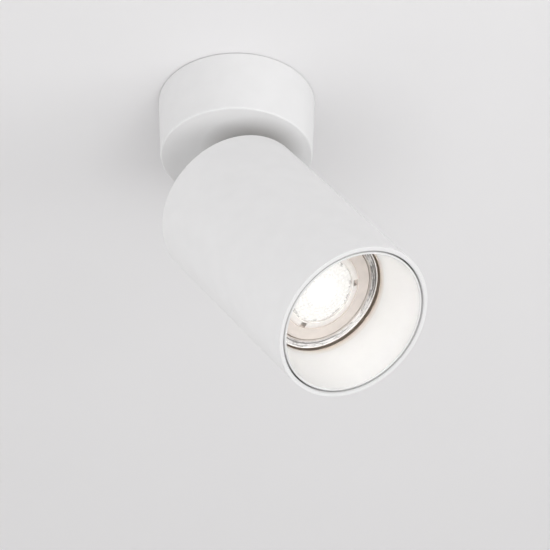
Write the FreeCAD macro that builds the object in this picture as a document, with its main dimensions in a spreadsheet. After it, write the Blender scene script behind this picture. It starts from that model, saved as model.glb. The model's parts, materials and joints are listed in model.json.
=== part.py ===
import FreeCAD, Part

import math
import os
from types import SimpleNamespace

import Sketcher

# Surface mounted ceiling spotlight: a round canopy cup on the ceiling, a short swivel stem below it and a
# cylindrical head that tilts on a friction knuckle and holds a twist-lock reflector lamp behind a white baffle.
#
# Millimetres. The origin is the centre of the canopy's mouth in the ceiling plane, +Z points up, and the head
# tilts towards +X. The pieces are drawn in two frames of their own, which the functions hang and aim place:
#   hang: z is the depth below the ceiling
#   aim:  z runs along the head's axis from the tilt pivot towards the lamp's mouth

SIZES = {
    # where the axes are
    "pivot_drop": 60, "rest_tilt": 35.3, "running_gap": 0.05, "part_gap": 0.3,
    # canopy cup
    "canopy_radius": 35, "canopy_foot_radius": 33.7, "canopy_height": 30, "canopy_wall": 2, "canopy_floor": 3,
    "canopy_rounding": 0.8, "boss_radius": 10, "boss_height": 2,
    "side_screw_turn": 180, "side_screw_spread": 120, "side_screw_depth": 8, "side_screw_radius": 2,
    # bracket on the ceiling
    "bracket_radius": 30, "bracket_sheet": 1.5, "tab_width": 10, "tab_length": 12, "tab_reach": 31.3,
    "slot_spacing": 44, "slot_length": 10, "slot_width": 4.5, "entry_radius": 6,
    "bushing_bore": 4, "bushing_flange": 8, "bushing_thick": 1.6,
    # terminal block and earth screw
    "block_near": 12.5, "block_depth": 14.5, "block_length": 29.4, "block_height": 12, "pole_pitch": 11,
    "pole_radius": 2.2, "pole_wall": 0.9, "insert_bore": 1.3, "insert_end": 0.8,
    "clamp_screw_radius": 1.2, "clamp_screw_foot": 1.4, "clamp_screw_rise": 3.2, "clamp_screw_offset": 3.9,
    "clamp_well_radius": 1.35, "block_screw_radius": 1.45, "block_screw_head": 2.25, "block_screw_rise": 1.8,
    "earth_place": 19, "earth_turn": 20, "earth_radius": 2, "earth_head": 4, "earth_head_rise": 2.6,
    "tag_radius": 4.4, "tag_sheet": 0.8, "tag_neck": 9, "tag_width": 3,
    # swivel stem
    "thread_radius": 5, "thread_top": 15.6, "collar_radius": 9, "collar_thick": 3.2, "pan_washer_thick": 0.8,
    "stem_radius": 7, "shoulder_drop": 45.5, "tongue_width": 11, "tongue_thick": 7, "stem_bore": 3,
    "bore_bottom": 41, "window_top": 32.5, "window_bottom": 44.6, "window_width": 2.6,
    "wave_thick": 0.4, "wave_rise": 1.2, "wave_radius": 8.6, "wave_count": 3,
    "stop_ring_thick": 1.5, "stop_ring_radius": 8.6, "stop_finger_reach": 13.2, "stop_finger_width": 3,
    "stop_pin_place": 12, "stop_pin_radius": 1.25, "stop_pin_top": 22, "stop_pin_foot": 28.5,
    "nut_across": 14, "nut_thick": 5,
    # tilting knuckle
    "ear_gap": 4.4, "ear_sheet": 2, "ear_radius": 7, "plate_rest": 4.2, "plate_width": 16, "plate_half": 20,
    "plate_window": 12, "post_radius": 3.2, "pivot_radius": 2, "friction_washer": 5.2, "washer_thick": 0.8,
    "pivot_head_radius": 3.8, "pivot_head_thick": 2.6, "pivot_nut_across": 7, "pivot_nut_thick": 3.2,
    "pivot_end": 10.2, "plate_screw_place": 17, "small_screw_radius": 1.4, "small_head_radius": 2.6,
    "small_head_rise": 1.8, "screw_end": 1, "driver_slot": 0.7, "driver_depth": 1,
    # head
    "head_radius": 35, "head_wall": 2.05, "head_back": 3, "head_front": 106, "back_rounding": 0.9,
    "front_rounding": 0.35, "cap_thick": 3, "cap_skirt": 7, "cap_skirt_wall": 2, "cap_open_near": 13.5,
    "cap_open_far": 8, "cap_open_half": 13.6, "cap_open_corner": 1.6,
    # front baffle
    "lip_radius": 32.35, "lip_depth": 3, "baffle_recess": 0.25, "baffle_mouth": 31.3, "baffle_throat": 26.85,
    "throat_depth": 25.6, "baffle_wall": 1.2, "lip_rounding": 0.4,
    "spring_width": 6, "spring_sheet": 0.4, "spring_low": 83, "spring_foot": 4, "spring_high": 100,
    "spring_crown": 32.6,
    # lampholder and its bridge
    "bridge_top": 11.5, "bridge_sheet": 1.5, "bridge_half": 23, "bridge_foot": 29, "bridge_width": 18,
    "foot_screw_place": 26, "holder_radius": 13.8, "holder_waist": 12, "holder_face": 31.5, "holder_step": 20,
    "holder_slope": 2,
    "holder_screw_place": 8.5, "holder_screw_well": 3, "pin_place": 5, "pin_entry_radius": 2.8,
    "pin_slot_width": 3.6, "pin_slot_turn": 40, "pin_cavity_top": 28.1, "pin_cavity_floor": 24.2,
    "contact_sheet": 0.5, "contact_width": 4,
    # lamp
    "lamp_foot": 31.7, "pin_neck_radius": 1.5, "pin_head_radius": 2.45, "pin_neck_end": 27.6, "pin_end": 24.7,
    "base_radius": 12.8, "base_step": 2, "base_shoulder": 14.6, "base_top": 42, "glass_radius": 26.2,
    "glass_bend": 74, "glass_bow": 58, "glass_front": 78.9, "glass_wall": 1.5, "glass_rim": 23.1,
    "glass_sag": 0.35, "glass_foot": 2, "glass_foot_edge": 0.4, "rim_height": 2,
    "cup_gap": 0.35, "cup_front": 78, "cup_radius": 22.7, "cup_step_radius": 17.85, "cup_step": 77.7,
    "cup_pocket": 69, "board_thick": 1.2, "chip_size": 2.6, "chip_thick": 0.7, "chip_ring": 7.5, "chip_count": 6,
    "ring_outer": 17.65, "ring_inner": 14.75, "ring_front": 78, "ring_foot": 72.5, "ring_slope": 0.4,
    "notch_place": 16.5, "notch_long": 3, "notch_wide": 2.4, "notch_depth": 2.6, "notch_turn": 16.5,
    "notch_count": 3, "lens_radius": 14.55, "lens_foot": 72.6, "lens_edge": 77.3, "lens_crown": 78.9,
    "lens_eye": 5.2, "lens_step": 0.45,
    # leads: how far along each run its corners are
    "lead_radius": 0.9, "lead_offset": 1.2, "lead_side": 12, "lead_gap": 0.5, "lead_end": 1.6,
    "lead_straight": 3, "lead_gather": 8, "lead_gather_share": 0.55, "lead_gather_rise": 0.5, "lead_drop": 1,
    "lead_stem_straight": 2, "lead_shoulder_gap": 4, "lead_plate_gap": 4, "lead_bridge_gap": 2,
    "lead_holder_depth": 4,
    "earth_straight": 2.5, "earth_dip": 6, "earth_dip_side": 4, "earth_dip_lift": 1.3, "earth_lift": 1.2,
    "earth_swing": 1, "earth_swing_side": 9, "earth_return": 8, "earth_return_side": 7, "earth_tag_end": 1,
}

BEND_SHARE = 0.45  # how much of a lead's shorter run its bend takes up
WAVE_STEPS = 8  # points on each rise and fall of the wave washer

X_AXIS = FreeCAD.Vector(1, 0, 0)
Y_AXIS = FreeCAD.Vector(0, 1, 0)
Z_AXIS = FreeCAD.Vector(0, 0, 1)
TOP = "XY_Plane"
SIDE = "XZ_Plane"
END = "YZ_Plane"

doc = FreeCAD.newDocument("CeilingSpotlight")
sheet = doc.addObject("Spreadsheet::Sheet", "Sizes")
for row, (alias, number) in enumerate(SIZES.items(), start=1):
    sheet.set(f"A{row}", alias)
    sheet.set(f"B{row}", str(number))
    sheet.setAlias(f"B{row}", alias)
doc.recompute()


# ---------------------------------------------------------------------------------------------- sizes

def formula_of(amount):
    return amount.formula if isinstance(amount, Size) else f"({amount})"


def value_of(amount):
    return amount.value if isinstance(amount, Size) else float(amount)


class Size:
    """A length with the formula, in the sheet's aliases, that it is worked out by."""

    def __init__(self, value, formula):
        self.value = float(value)
        self.formula = formula

    def __add__(self, other):
        return Size(self.value + value_of(other), f"({self.formula} + {formula_of(other)})")

    def __sub__(self, other):
        return Size(self.value - value_of(other), f"({self.formula} - {formula_of(other)})")

    def __mul__(self, other):
        return Size(self.value * value_of(other), f"({self.formula} * {formula_of(other)})")

    def __truediv__(self, other):
        return Size(self.value / value_of(other), f"({self.formula} / {formula_of(other)})")

    def __neg__(self):
        return Size(-self.value, f"(-1 * {self.formula})")


s = SimpleNamespace(**{alias: Size(number, f"Sizes.{alias}") for alias, number in SIZES.items()})
NONE = Size(0, "(0)")


# ------------------------------------------------------------------------------------ drawing helpers

nodes = []


def hang(piece, turn=NONE):
    """Places a piece that is drawn with z as the depth below the ceiling, turned about the vertical."""
    upside_down = FreeCAD.Rotation(X_AXIS, 180)
    piece.Placement = FreeCAD.Placement(FreeCAD.Vector(), upside_down * FreeCAD.Rotation(Z_AXIS, turn.value))


def aim(piece, turn=NONE):
    """Places a piece that is drawn along the head's axis, with its origin on the tilt pivot."""
    tipped = FreeCAD.Rotation(Y_AXIS, 180 - s.rest_tilt.value)
    pivot = FreeCAD.Vector(0, 0, -s.pivot_drop.value)
    piece.Placement = FreeCAD.Placement(pivot, tipped * FreeCAD.Rotation(Z_AXIS, turn.value))
    piece.setExpression("Placement.Base.z", (-s.pivot_drop).formula)


def new_body(name, frame, turn=NONE):
    piece = doc.addObject("PartDesign::Body", name)
    piece.Label = name
    frame(piece, turn)
    nodes.append(piece)
    return piece


def new_sketch(piece, plane, shift=NONE, turn=0):
    """A sketch on one of the piece's own planes, moved along its normal and turned by some degrees."""
    drawing = piece.newObject("Sketcher::SketchObject", f"{piece.Name}_outline")
    support = next(datum for datum in piece.Origin.OriginFeatures if datum.Role == plane)
    drawing.AttachmentSupport = [(support, "")]
    drawing.MapMode = "FlatFace"
    offset = FreeCAD.Vector(0, 0, shift.value)
    drawing.AttachmentOffset = FreeCAD.Placement(offset, FreeCAD.Rotation(Z_AXIS, turn))
    drawing.setExpression("AttachmentOffset.Base.z", shift.formula)
    return drawing


def pin_point(drawing, geometry, handle, x, y):
    """Fixes one point of a sketch at sheet sizes from the sketch's origin."""
    for kind, amount in (("DistanceX", x), ("DistanceY", y)):
        index = drawing.addConstraint(Sketcher.Constraint(kind, -1, 1, geometry, handle, value_of(amount)))
        drawing.setExpression(f"Constraints[{index}]", formula_of(amount))


def arc_between(first, last, radius):
    """The minor arc from first to last: it turns left for a positive radius and right for a negative one."""
    chord = last - first
    middle = (first + last) * 0.5
    left = FreeCAD.Vector(-chord.y, chord.x, 0).normalize()
    rise = math.sqrt(max(radius ** 2 - (chord.Length / 2) ** 2, 0))
    centre = middle + left * math.copysign(rise, radius)
    circle = Part.Circle(centre, Z_AXIS, abs(radius))
    ends = (first, last) if radius > 0 else (last, first)
    return Part.ArcOfCircle(circle, *(circle.parameter(end) for end in ends))


def outline(drawing, corners):
    """A closed outline. A corner is (x, y), or (x, y, radius) where an arc leads on to the next corner."""
    places = [FreeCAD.Vector(value_of(corner[0]), value_of(corner[1]), 0) for corner in corners]
    start_handles, end_handles = [], []
    for index, corner in enumerate(corners):
        here, there = places[index], places[(index + 1) % len(places)]
        following = corners[(index + 1) % len(corners)]
        if len(corner) == 2:
            edge = drawing.addGeometry(Part.LineSegment(here, there), False)
            start_handles.append((edge, 1))
            end_handles.append((edge, 2))
            continue
        radius = value_of(corner[2])
        edge = drawing.addGeometry(arc_between(here, there, radius), False)
        start_handles.append((edge, 1 if radius > 0 else 2))
        end_handles.append((edge, 2 if radius > 0 else 1))
        if abs((there - here).Length - 2 * abs(radius)) < 1e-6:
            upright = abs(there.x - here.x) < 1e-6
            kind, amount = ("DistanceX", following[0]) if upright else ("DistanceY", following[1])
            mark = drawing.addConstraint(Sketcher.Constraint(kind, -1, 1, edge, 3, value_of(amount)))
            drawing.setExpression(f"Constraints[{mark}]", formula_of(amount))
        else:
            mark = drawing.addConstraint(Sketcher.Constraint("Radius", edge, abs(radius)))
            size = corner[2] if radius > 0 else -corner[2]
            drawing.setExpression(f"Constraints[{mark}]", formula_of(size))
    for index, corner in enumerate(corners):
        drawing.addConstraint(Sketcher.Constraint("Coincident", *end_handles[index - 1], *start_handles[index]))
        pin_point(drawing, *start_handles[index], corner[0], corner[1])
    return drawing


def rectangle(drawing, left, right, bottom, top):
    return outline(drawing, [(left, bottom), (right, bottom), (right, top), (left, top)])


def slot(drawing, left, right, bottom, top):
    """A slot with round ends, lying along x."""
    radius = (top - bottom) / 2
    return outline(drawing, [
        (left + radius, bottom), (right - radius, bottom, radius),
        (right - radius, top), (left + radius, top, radius),
    ])


def circles(drawing, centres, radius):
    for x, y in centres:
        middle = FreeCAD.Vector(value_of(x), value_of(y), 0)
        ring = drawing.addGeometry(Part.Circle(middle, Z_AXIS, value_of(radius)), False)
        pin_point(drawing, ring, 3, x, y)
        index = drawing.addConstraint(Sketcher.Constraint("Radius", ring, value_of(radius)))
        drawing.setExpression(f"Constraints[{index}]", formula_of(radius))
    return drawing


def hexagon(drawing, across, centre=(NONE, NONE)):
    """A hexagon by its size across the flats."""
    corner = across / (2 * math.cos(math.pi / 6))
    spots = [(math.cos(step * math.pi / 3), math.sin(step * math.pi / 3)) for step in range(6)]
    return outline(drawing, [(centre[0] + corner * x, centre[1] + corner * y) for x, y in spots])


def at_turn(distance, degrees):
    """A place at a distance and an angle from the sketch's origin."""
    angle = math.radians(degrees)
    return distance * math.cos(angle), distance * math.sin(angle)


def add_feature(piece, kind, drawing, back=False, **amounts):
    feature = piece.newObject(f"PartDesign::{kind}", f"{piece.Name}_{kind}")
    feature.Profile = drawing
    feature.Reversed = back
    for name, amount in amounts.items():
        feature.setExpression(name, formula_of(amount))
    return feature


def pad(piece, drawing, length, back=False):
    return add_feature(piece, "Pad", drawing, back, Length=length)


def pad_both_ways(piece, drawing, length):
    feature = add_feature(piece, "Pad", drawing, Length=length)
    feature.Midplane = True
    return feature


def pocket(piece, drawing, depth, back=True):
    """Cuts along the sketch plane's normal, or against it where back is False."""
    return add_feature(piece, "Pocket", drawing, back, Length=depth)


def pocket_both_ways(piece, drawing):
    feature = add_feature(piece, "Pocket", drawing)
    feature.Type = "ThroughAll"
    feature.Midplane = True
    return feature


def revolve(piece, corners, cut=False, plane=SIDE):
    """Turns an outline of (radius, height) corners about the piece's z axis."""
    drawing = outline(new_sketch(piece, plane), corners)
    feature = add_feature(piece, "Groove" if cut else "Revolution", drawing)
    feature.ReferenceAxis = (drawing, ["V_Axis"])
    feature.Angle = 360
    return feature


def pattern(piece, features, count, angle=360):
    """Repeats features about the piece's z axis."""
    repeat = piece.newObject("PartDesign::PolarPattern", f"{piece.Name}_pattern")
    repeat.Originals = features
    repeat.Axis = (next(datum for datum in piece.Origin.OriginFeatures if datum.Role == "Z_Axis"), [""])
    repeat.Angle = angle
    repeat.Occurrences = count
    piece.Tip = repeat
    return repeat


def screws(name, frame, places, seat, length, radius, head_radius, head_rise, headward=1, turn=NONE):
    """Slotted pan-head screws standing along z: heads on the headward side of the seat, shanks behind it."""
    piece = new_body(name, frame, turn)
    pad(piece, circles(new_sketch(piece, TOP, seat), places, radius), length, back=headward > 0)
    pad(piece, circles(new_sketch(piece, TOP, seat), places, head_radius), head_rise, back=headward < 0)
    top = seat + head_rise * headward
    for x, y in places:
        cut = new_sketch(piece, TOP, top)
        rectangle(cut, x - head_radius, x + head_radius, y - s.driver_slot / 2, y + s.driver_slot / 2)
        pocket(piece, cut, s.driver_depth, back=headward < 0)
    return piece


def lead_shape(points, radius):
    """A lead's solid: straight runs joined by arcs as large as the shorter run allows."""
    corners = [FreeCAD.Vector(*(value_of(amount) for amount in point)) for point in points]
    edges = []
    here = corners[0]
    for before, corner, after in zip(corners, corners[1:], corners[2:]):
        incoming, outgoing = corner - before, after - corner
        turn = incoming.getAngle(outgoing)
        setback = BEND_SHARE * min(incoming.Length, outgoing.Length)
        incoming.normalize()
        outgoing.normalize()
        bend = setback / math.tan(turn / 2)
        middle = corner + (outgoing - incoming).normalize() * (bend / math.cos(turn / 2) - bend)
        start, end = corner - incoming * setback, corner + outgoing * setback
        edges += [Part.LineSegment(here, start).toShape(), Part.Arc(start, middle, end).toShape()]
        here = end
    edges.append(Part.LineSegment(here, corners[-1]).toShape())
    path = Part.Wire(edges)
    first_run = corners[1] - corners[0]
    section = Part.Wire([Part.Circle(corners[0], first_run, radius).toShape()])
    return path.makePipeShell([section], True, False)


def leads(name, frame, routes, radius):
    """Leads that lie along the given routes, one solid each."""
    piece = doc.addObject("Part::Feature", name)
    piece.Label = name
    tubes = [lead_shape(route, radius.value) for route in routes]
    piece.Shape = Part.makeCompound(tubes) if len(tubes) > 1 else tubes[0]
    frame(piece)
    nodes.append(piece)
    return piece


# ------------------------------------------------------------------------------------ canopy assembly

floor_top = s.canopy_height - s.canopy_floor
boss_top = floor_top - s.boss_height


def make_canopy():
    """The cup: a slightly tapered wall, a rounded lower edge, a boss for the swivel and a stop pin's hole."""
    piece = new_body("canopy", hang, s.side_screw_turn)
    inner_foot = s.canopy_foot_radius - s.canopy_wall
    stem_hole = s.thread_radius + s.running_gap
    revolve(piece, [
        (s.canopy_radius, NONE),
        (s.canopy_foot_radius, s.canopy_height - s.canopy_rounding, s.canopy_rounding),
        (s.canopy_foot_radius - s.canopy_rounding, s.canopy_height),
        (stem_hole, s.canopy_height),
        (stem_hole, boss_top),
        (s.boss_radius, boss_top),
        (s.boss_radius, floor_top),
        (inner_foot - s.canopy_rounding, floor_top, -s.canopy_rounding),
        (inner_foot, floor_top - s.canopy_rounding),
        (s.canopy_radius - s.canopy_wall, NONE),
    ])
    hole = pocket(piece, circles(new_sketch(piece, END), [(NONE, s.side_screw_depth)], s.side_screw_radius),
                  s.canopy_radius + s.canopy_wall)
    pattern(piece, [hole], 2, SIZES["side_screw_spread"])
    pin_hole = circles(new_sketch(piece, TOP, floor_top), [(s.stop_pin_place, NONE)], s.stop_pin_radius)
    pocket(piece, pin_hole, s.stop_pin_foot - floor_top)


def make_canopy_screws():
    """Two socket grub screws through the canopy's wall into the bracket's tabs."""
    piece = new_body("canopy_screws", hang, s.side_screw_turn)
    tip = s.tab_reach - s.bracket_sheet
    length = s.canopy_radius - s.canopy_wall / 2 - tip
    place = [(NONE, s.side_screw_depth)]
    shank = pad(piece, circles(new_sketch(piece, END, tip), place, s.side_screw_radius), length)
    socket = pocket(piece, hexagon(new_sketch(piece, END, tip + length), s.side_screw_radius, place[0]),
                    s.side_screw_radius, back=False)
    pattern(piece, [shank, socket], 2, SIZES["side_screw_spread"])


def slot_places():
    return [(s.slot_spacing / 2, NONE), (-(s.slot_spacing / 2), NONE)]


def earth_place():
    return at_turn(s.earth_place, SIZES["earth_turn"])


def block_screw_places():
    x = -(s.block_near + s.block_depth / 2)
    return [(x, s.pole_pitch / 2), (x, -(s.pole_pitch / 2))]


def make_ceiling_bracket():
    """A steel disc with two long slots for the ceiling screws and three tabs inside the canopy's wall."""
    piece = new_body("ceiling_bracket", hang, s.side_screw_turn)
    pad(piece, circles(new_sketch(piece, TOP), [(NONE, NONE)], s.bracket_radius), s.bracket_sheet)
    half = s.tab_width / 2
    inner = s.tab_reach - s.bracket_sheet
    tab = pad(piece, rectangle(new_sketch(piece, TOP), inner, s.tab_reach, -half, half), s.tab_length)
    neck = pad(piece, rectangle(new_sketch(piece, TOP), inner - s.tab_width / 2, inner, -half, half),
               s.bracket_sheet)
    pattern(piece, [tab, neck], 3)
    hole = circles(new_sketch(piece, END), [(NONE, s.side_screw_depth)], s.side_screw_radius)
    pattern(piece, [pocket(piece, hole, s.canopy_radius)], 2, SIZES["side_screw_spread"])
    pocket(piece, circles(new_sketch(piece, TOP), [(NONE, NONE)], s.entry_radius), s.bracket_sheet)
    upright = 90 - SIZES["side_screw_turn"]
    for x, _ in slot_places():
        reach, half_width = s.slot_length / 2, s.slot_width / 2
        long_hole = slot(new_sketch(piece, TOP, turn=upright), x - reach, x + reach, -half_width, half_width)
        pocket(piece, long_hole, s.bracket_sheet)
    level = -SIZES["side_screw_turn"]
    pocket(piece, circles(new_sketch(piece, TOP, turn=level), [earth_place()], s.earth_radius), s.bracket_sheet)
    pocket(piece, circles(new_sketch(piece, TOP, turn=level), block_screw_places(), s.block_screw_radius),
           s.bracket_sheet)


def make_cable_bushing():
    """A rubber bushing that lines the bracket's cable hole."""
    piece = new_body("cable_bushing", hang)
    revolve(piece, [
        (s.bushing_bore, NONE), (s.entry_radius, NONE), (s.entry_radius, s.bracket_sheet),
        (s.bushing_flange, s.bracket_sheet), (s.bushing_flange, s.bracket_sheet + s.bushing_thick),
        (s.bushing_bore, s.bracket_sheet + s.bushing_thick),
    ])


def pole_rows():
    return [-s.pole_pitch, NONE, s.pole_pitch]


pole_depth = s.bracket_sheet + s.block_height / 2
pole_far = -(s.block_near + s.block_depth)


def clamp_places():
    middle = -(s.block_near + s.block_depth / 2)
    return [(middle + shift, row) for row in pole_rows() for shift in (s.clamp_screw_offset, -s.clamp_screw_offset)]


def make_terminal_block():
    """A three-pole block: round barrels joined by webs, wire entries at both ends and a well for each screw."""
    piece = new_body("terminal_block", hang)
    half = s.block_length / 2
    foot, top = s.bracket_sheet, s.bracket_sheet + s.block_height
    web_top = foot + s.block_height / 2
    pad(piece, rectangle(new_sketch(piece, END, pole_far), -half, half, foot, web_top), s.block_depth)
    for row in pole_rows():
        barrel = s.pole_radius + s.pole_wall
        arch = new_sketch(piece, END, pole_far)
        outline(arch, [
            (row - barrel, web_top - s.pole_wall), (row + barrel, web_top - s.pole_wall),
            (row + barrel, top - barrel, barrel), (row - barrel, top - barrel),
        ])
        pad(piece, arch, s.block_depth)
        bore = circles(new_sketch(piece, END, pole_far), [(row, pole_depth)], s.pole_radius)
        pocket(piece, bore, s.block_depth)
    wells = circles(new_sketch(piece, TOP, pole_depth), clamp_places(), s.clamp_well_radius)
    pocket(piece, wells, s.block_height)
    pocket(piece, circles(new_sketch(piece, TOP), block_screw_places(), s.block_screw_radius), s.block_height)


def make_terminal_inserts():
    """Three brass tubes that take the wires, drilled across for their clamping screws."""
    piece = new_body("terminal_inserts", hang)
    rows = [(row, pole_depth) for row in pole_rows()]
    inner = pole_far + s.insert_end
    length = s.block_depth - s.insert_end * 2
    pad(piece, circles(new_sketch(piece, END, inner), rows, s.pole_radius - s.running_gap), length)
    pocket(piece, circles(new_sketch(piece, END, inner), rows, s.insert_bore), length)
    pocket(piece, circles(new_sketch(piece, TOP, pole_depth), clamp_places(), s.clamp_screw_radius),
           s.block_height)


def make_terminal_fasteners():
    """Headless clamping screws over the wires, and two screws that hold the block."""
    shank = s.clamp_screw_radius - s.running_gap
    half_rise = s.clamp_screw_rise / 2
    screws("terminal_screws", hang, clamp_places(), pole_depth + s.clamp_screw_foot + half_rise, half_rise, shank,
           shank, half_rise)
    screws("terminal_block_screws", hang, block_screw_places(), pole_depth,
           s.block_height / 2 + s.bracket_sheet, s.block_screw_radius - s.running_gap, s.block_screw_head,
           s.block_screw_rise)


def make_earth_terminal():
    """A ring tag under a pan-head screw in the bracket."""
    screws("earth_screw", hang, [earth_place()], s.bracket_sheet + s.tag_sheet, s.bracket_sheet + s.tag_sheet,
           s.earth_radius - s.running_gap, s.earth_head, s.earth_head_rise)
    piece = new_body("earth_tag", hang, s.earth_turn)
    centre = [(s.earth_place, NONE)]
    pad(piece, circles(new_sketch(piece, TOP, s.bracket_sheet), centre, s.tag_radius), s.tag_sheet)
    half = s.tag_width / 2
    neck = rectangle(new_sketch(piece, TOP, s.bracket_sheet), s.earth_place - s.tag_neck, s.earth_place, -half, half)
    pad(piece, neck, s.tag_sheet)
    pocket(piece, circles(new_sketch(piece, TOP), centre, s.earth_radius), s.bracket_sheet + s.tag_sheet)


def make_pan_washer():
    """A nylon washer between the canopy's floor and the stem's collar."""
    piece = new_body("pan_washer", hang)
    revolve(piece, [
        (s.thread_radius + s.running_gap, s.canopy_height),
        (s.collar_radius, s.canopy_height),
        (s.collar_radius, s.canopy_height + s.pan_washer_thick - s.running_gap),
        (s.thread_radius + s.running_gap, s.canopy_height + s.pan_washer_thick - s.running_gap),
    ])


def make_stop_pin():
    """The pin in the canopy's floor that the stop ring's finger turns against."""
    piece = new_body("stop_pin", hang, s.side_screw_turn)
    foot = circles(new_sketch(piece, TOP, s.stop_pin_top), [(s.stop_pin_place, NONE)], s.stop_pin_radius)
    pad(piece, foot, s.stop_pin_foot - s.stop_pin_top)


# -------------------------------------------------------------------------------------- swivel stem

collar_top = s.canopy_height + s.pan_washer_thick
wave_top = boss_top - s.running_gap - s.wave_rise
ring_top = wave_top - s.stop_ring_thick
nut_top = ring_top - s.nut_thick


def make_swivel_stem():
    """A turned stem: hollow threaded neck, collar, round body and a flat tongue with the pivot's eye."""
    piece = new_body("swivel_stem", hang)
    edge = s.canopy_rounding / 2
    revolve(piece, [
        (s.stem_bore, s.thread_top), (s.thread_radius - edge, s.thread_top),
        (s.thread_radius, s.thread_top + edge), (s.thread_radius, collar_top),
        (s.collar_radius, collar_top),
        (s.collar_radius, collar_top + s.collar_thick - edge, edge),
        (s.collar_radius - edge, collar_top + s.collar_thick),
        (s.stem_radius, collar_top + s.collar_thick),
        (s.stem_radius, s.shoulder_drop - edge, edge), (s.stem_radius - edge, s.shoulder_drop),
        (NONE, s.shoulder_drop), (NONE, s.bore_bottom + s.stem_bore / 2), (s.stem_bore, s.bore_bottom),
    ])
    half = s.tongue_width / 2
    tongue = new_sketch(piece, SIDE)
    root = s.shoulder_drop - s.collar_thick / 2
    outline(tongue, [(-half, root), (half, root), (half, s.pivot_drop, half), (-half, s.pivot_drop)])
    pad_both_ways(piece, tongue, s.tongue_thick)
    eye = circles(new_sketch(piece, SIDE), [(NONE, s.pivot_drop)], s.pivot_radius + s.running_gap)
    pocket_both_ways(piece, eye)
    half_window = s.window_width / 2
    window = new_sketch(piece, SIDE)
    outline(window, [
        (half_window, s.window_top + half_window), (half_window, s.window_bottom - half_window, half_window),
        (-half_window, s.window_bottom - half_window), (-half_window, s.window_top + half_window, half_window),
    ])
    pocket_both_ways(piece, window)


def make_stem_stack():
    """What holds the stem in the canopy: a wave washer, the keyed stop ring and a thin hexagon nut."""
    bore = s.thread_radius + s.running_gap
    wave = doc.addObject("Part::Feature", "wave_washer")
    wave.Label = "wave_washer"
    wave.Shape = wave_washer_shape(bore.value)
    hang(wave)
    nodes.append(wave)

    ring = new_body("stop_ring", hang)
    pad(ring, circles(new_sketch(ring, TOP, ring_top), [(NONE, NONE)], s.stop_ring_radius), s.stop_ring_thick)
    half = s.stop_finger_width / 2
    finger = rectangle(new_sketch(ring, TOP, ring_top), s.thread_radius + half, s.stop_finger_reach, -half, half)
    pad(ring, finger, s.stop_ring_thick)
    pocket(ring, circles(new_sketch(ring, TOP, ring_top), [(NONE, NONE)], bore), s.stop_ring_thick)

    nut = new_body("stem_nut", hang)
    pad(nut, hexagon(new_sketch(nut, TOP, nut_top), s.nut_across), s.nut_thick)
    pocket(nut, circles(new_sketch(nut, TOP, nut_top), [(NONE, NONE)], bore), s.nut_thick)


def wave_washer_shape(bore):
    """A thin ring that rises and falls round its turn: a ruled band through one square section per step."""
    steps = WAVE_STEPS * SIZES["wave_count"]
    half_sheet = s.wave_thick.value / 2
    middle = (boss_top.value - s.running_gap.value + wave_top.value) / 2
    swing = (s.wave_rise.value - s.wave_thick.value) / 2
    rings = {}
    for side, radius in (("in", bore), ("out", s.wave_radius.value)):
        for face, sheet_side in (("low", -half_sheet), ("high", half_sheet)):
            points = []
            for step in range(steps):
                angle = 2 * math.pi * step / steps
                height = middle + swing * math.cos(SIZES["wave_count"] * angle) + sheet_side
                points.append(FreeCAD.Vector(radius * math.cos(angle), radius * math.sin(angle), height))
            curve = Part.BSplineCurve()
            curve.interpolate(points, PeriodicFlag=True)
            rings[side, face] = curve.toShape()
    pairs = [(("in", "low"), ("out", "low")), (("out", "low"), ("out", "high")),
             (("out", "high"), ("in", "high")), (("in", "high"), ("in", "low"))]
    faces = [Part.makeRuledSurface(rings[first], rings[last]) for first, last in pairs]
    shell = Part.Shell(sum((face.Faces for face in faces), []))
    shell.sewShape()
    solid = Part.Solid(Part.Shell(shell.Faces))
    if solid.Volume < 0:
        solid.reverse()
    return solid


# ------------------------------------------------------------------------------------ tilting knuckle

def make_tilt_bracket():
    """A steel plate on the cap's two posts, with round ears bent back through the cap's opening."""
    piece = new_body("tilt_bracket", aim)
    half_width, half_window = s.plate_width / 2, s.plate_window / 2
    rest, top = s.plate_rest, s.plate_rest + s.ear_sheet
    pad(piece, rectangle(new_sketch(piece, TOP, rest), -half_width, half_width, -s.plate_half, s.plate_half),
        s.ear_sheet)
    pocket(piece, rectangle(new_sketch(piece, TOP, rest), -half_window, half_window, -s.ear_gap, s.ear_gap),
           s.ear_sheet)
    for side in (1, -1):
        ear = new_sketch(piece, SIDE, -(s.ear_gap * side))
        outline(ear, [
            (s.ear_radius, top), (-s.ear_radius, top), (-s.ear_radius, NONE, s.ear_radius), (s.ear_radius, NONE),
        ])
        pad(piece, ear, s.ear_sheet, back=side > 0)
    pocket_both_ways(piece, circles(new_sketch(piece, SIDE), [(NONE, NONE)], s.pivot_radius))
    lead_half = s.lead_radius * 2
    for side in (1, -1):
        low, high = s.lead_side * side - lead_half, s.lead_side * side + lead_half
        pocket(piece, rectangle(new_sketch(piece, TOP, rest), -lead_half, lead_half, low, high), s.ear_sheet)
    pocket(piece, circles(new_sketch(piece, TOP, rest), plate_screw_places(), s.small_screw_radius), s.ear_sheet)


def plate_screw_places():
    return [(NONE, s.plate_screw_place), (NONE, -s.plate_screw_place)]


def foot_screw_places():
    return [(s.foot_screw_place, NONE), (-s.foot_screw_place, NONE)]


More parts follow.
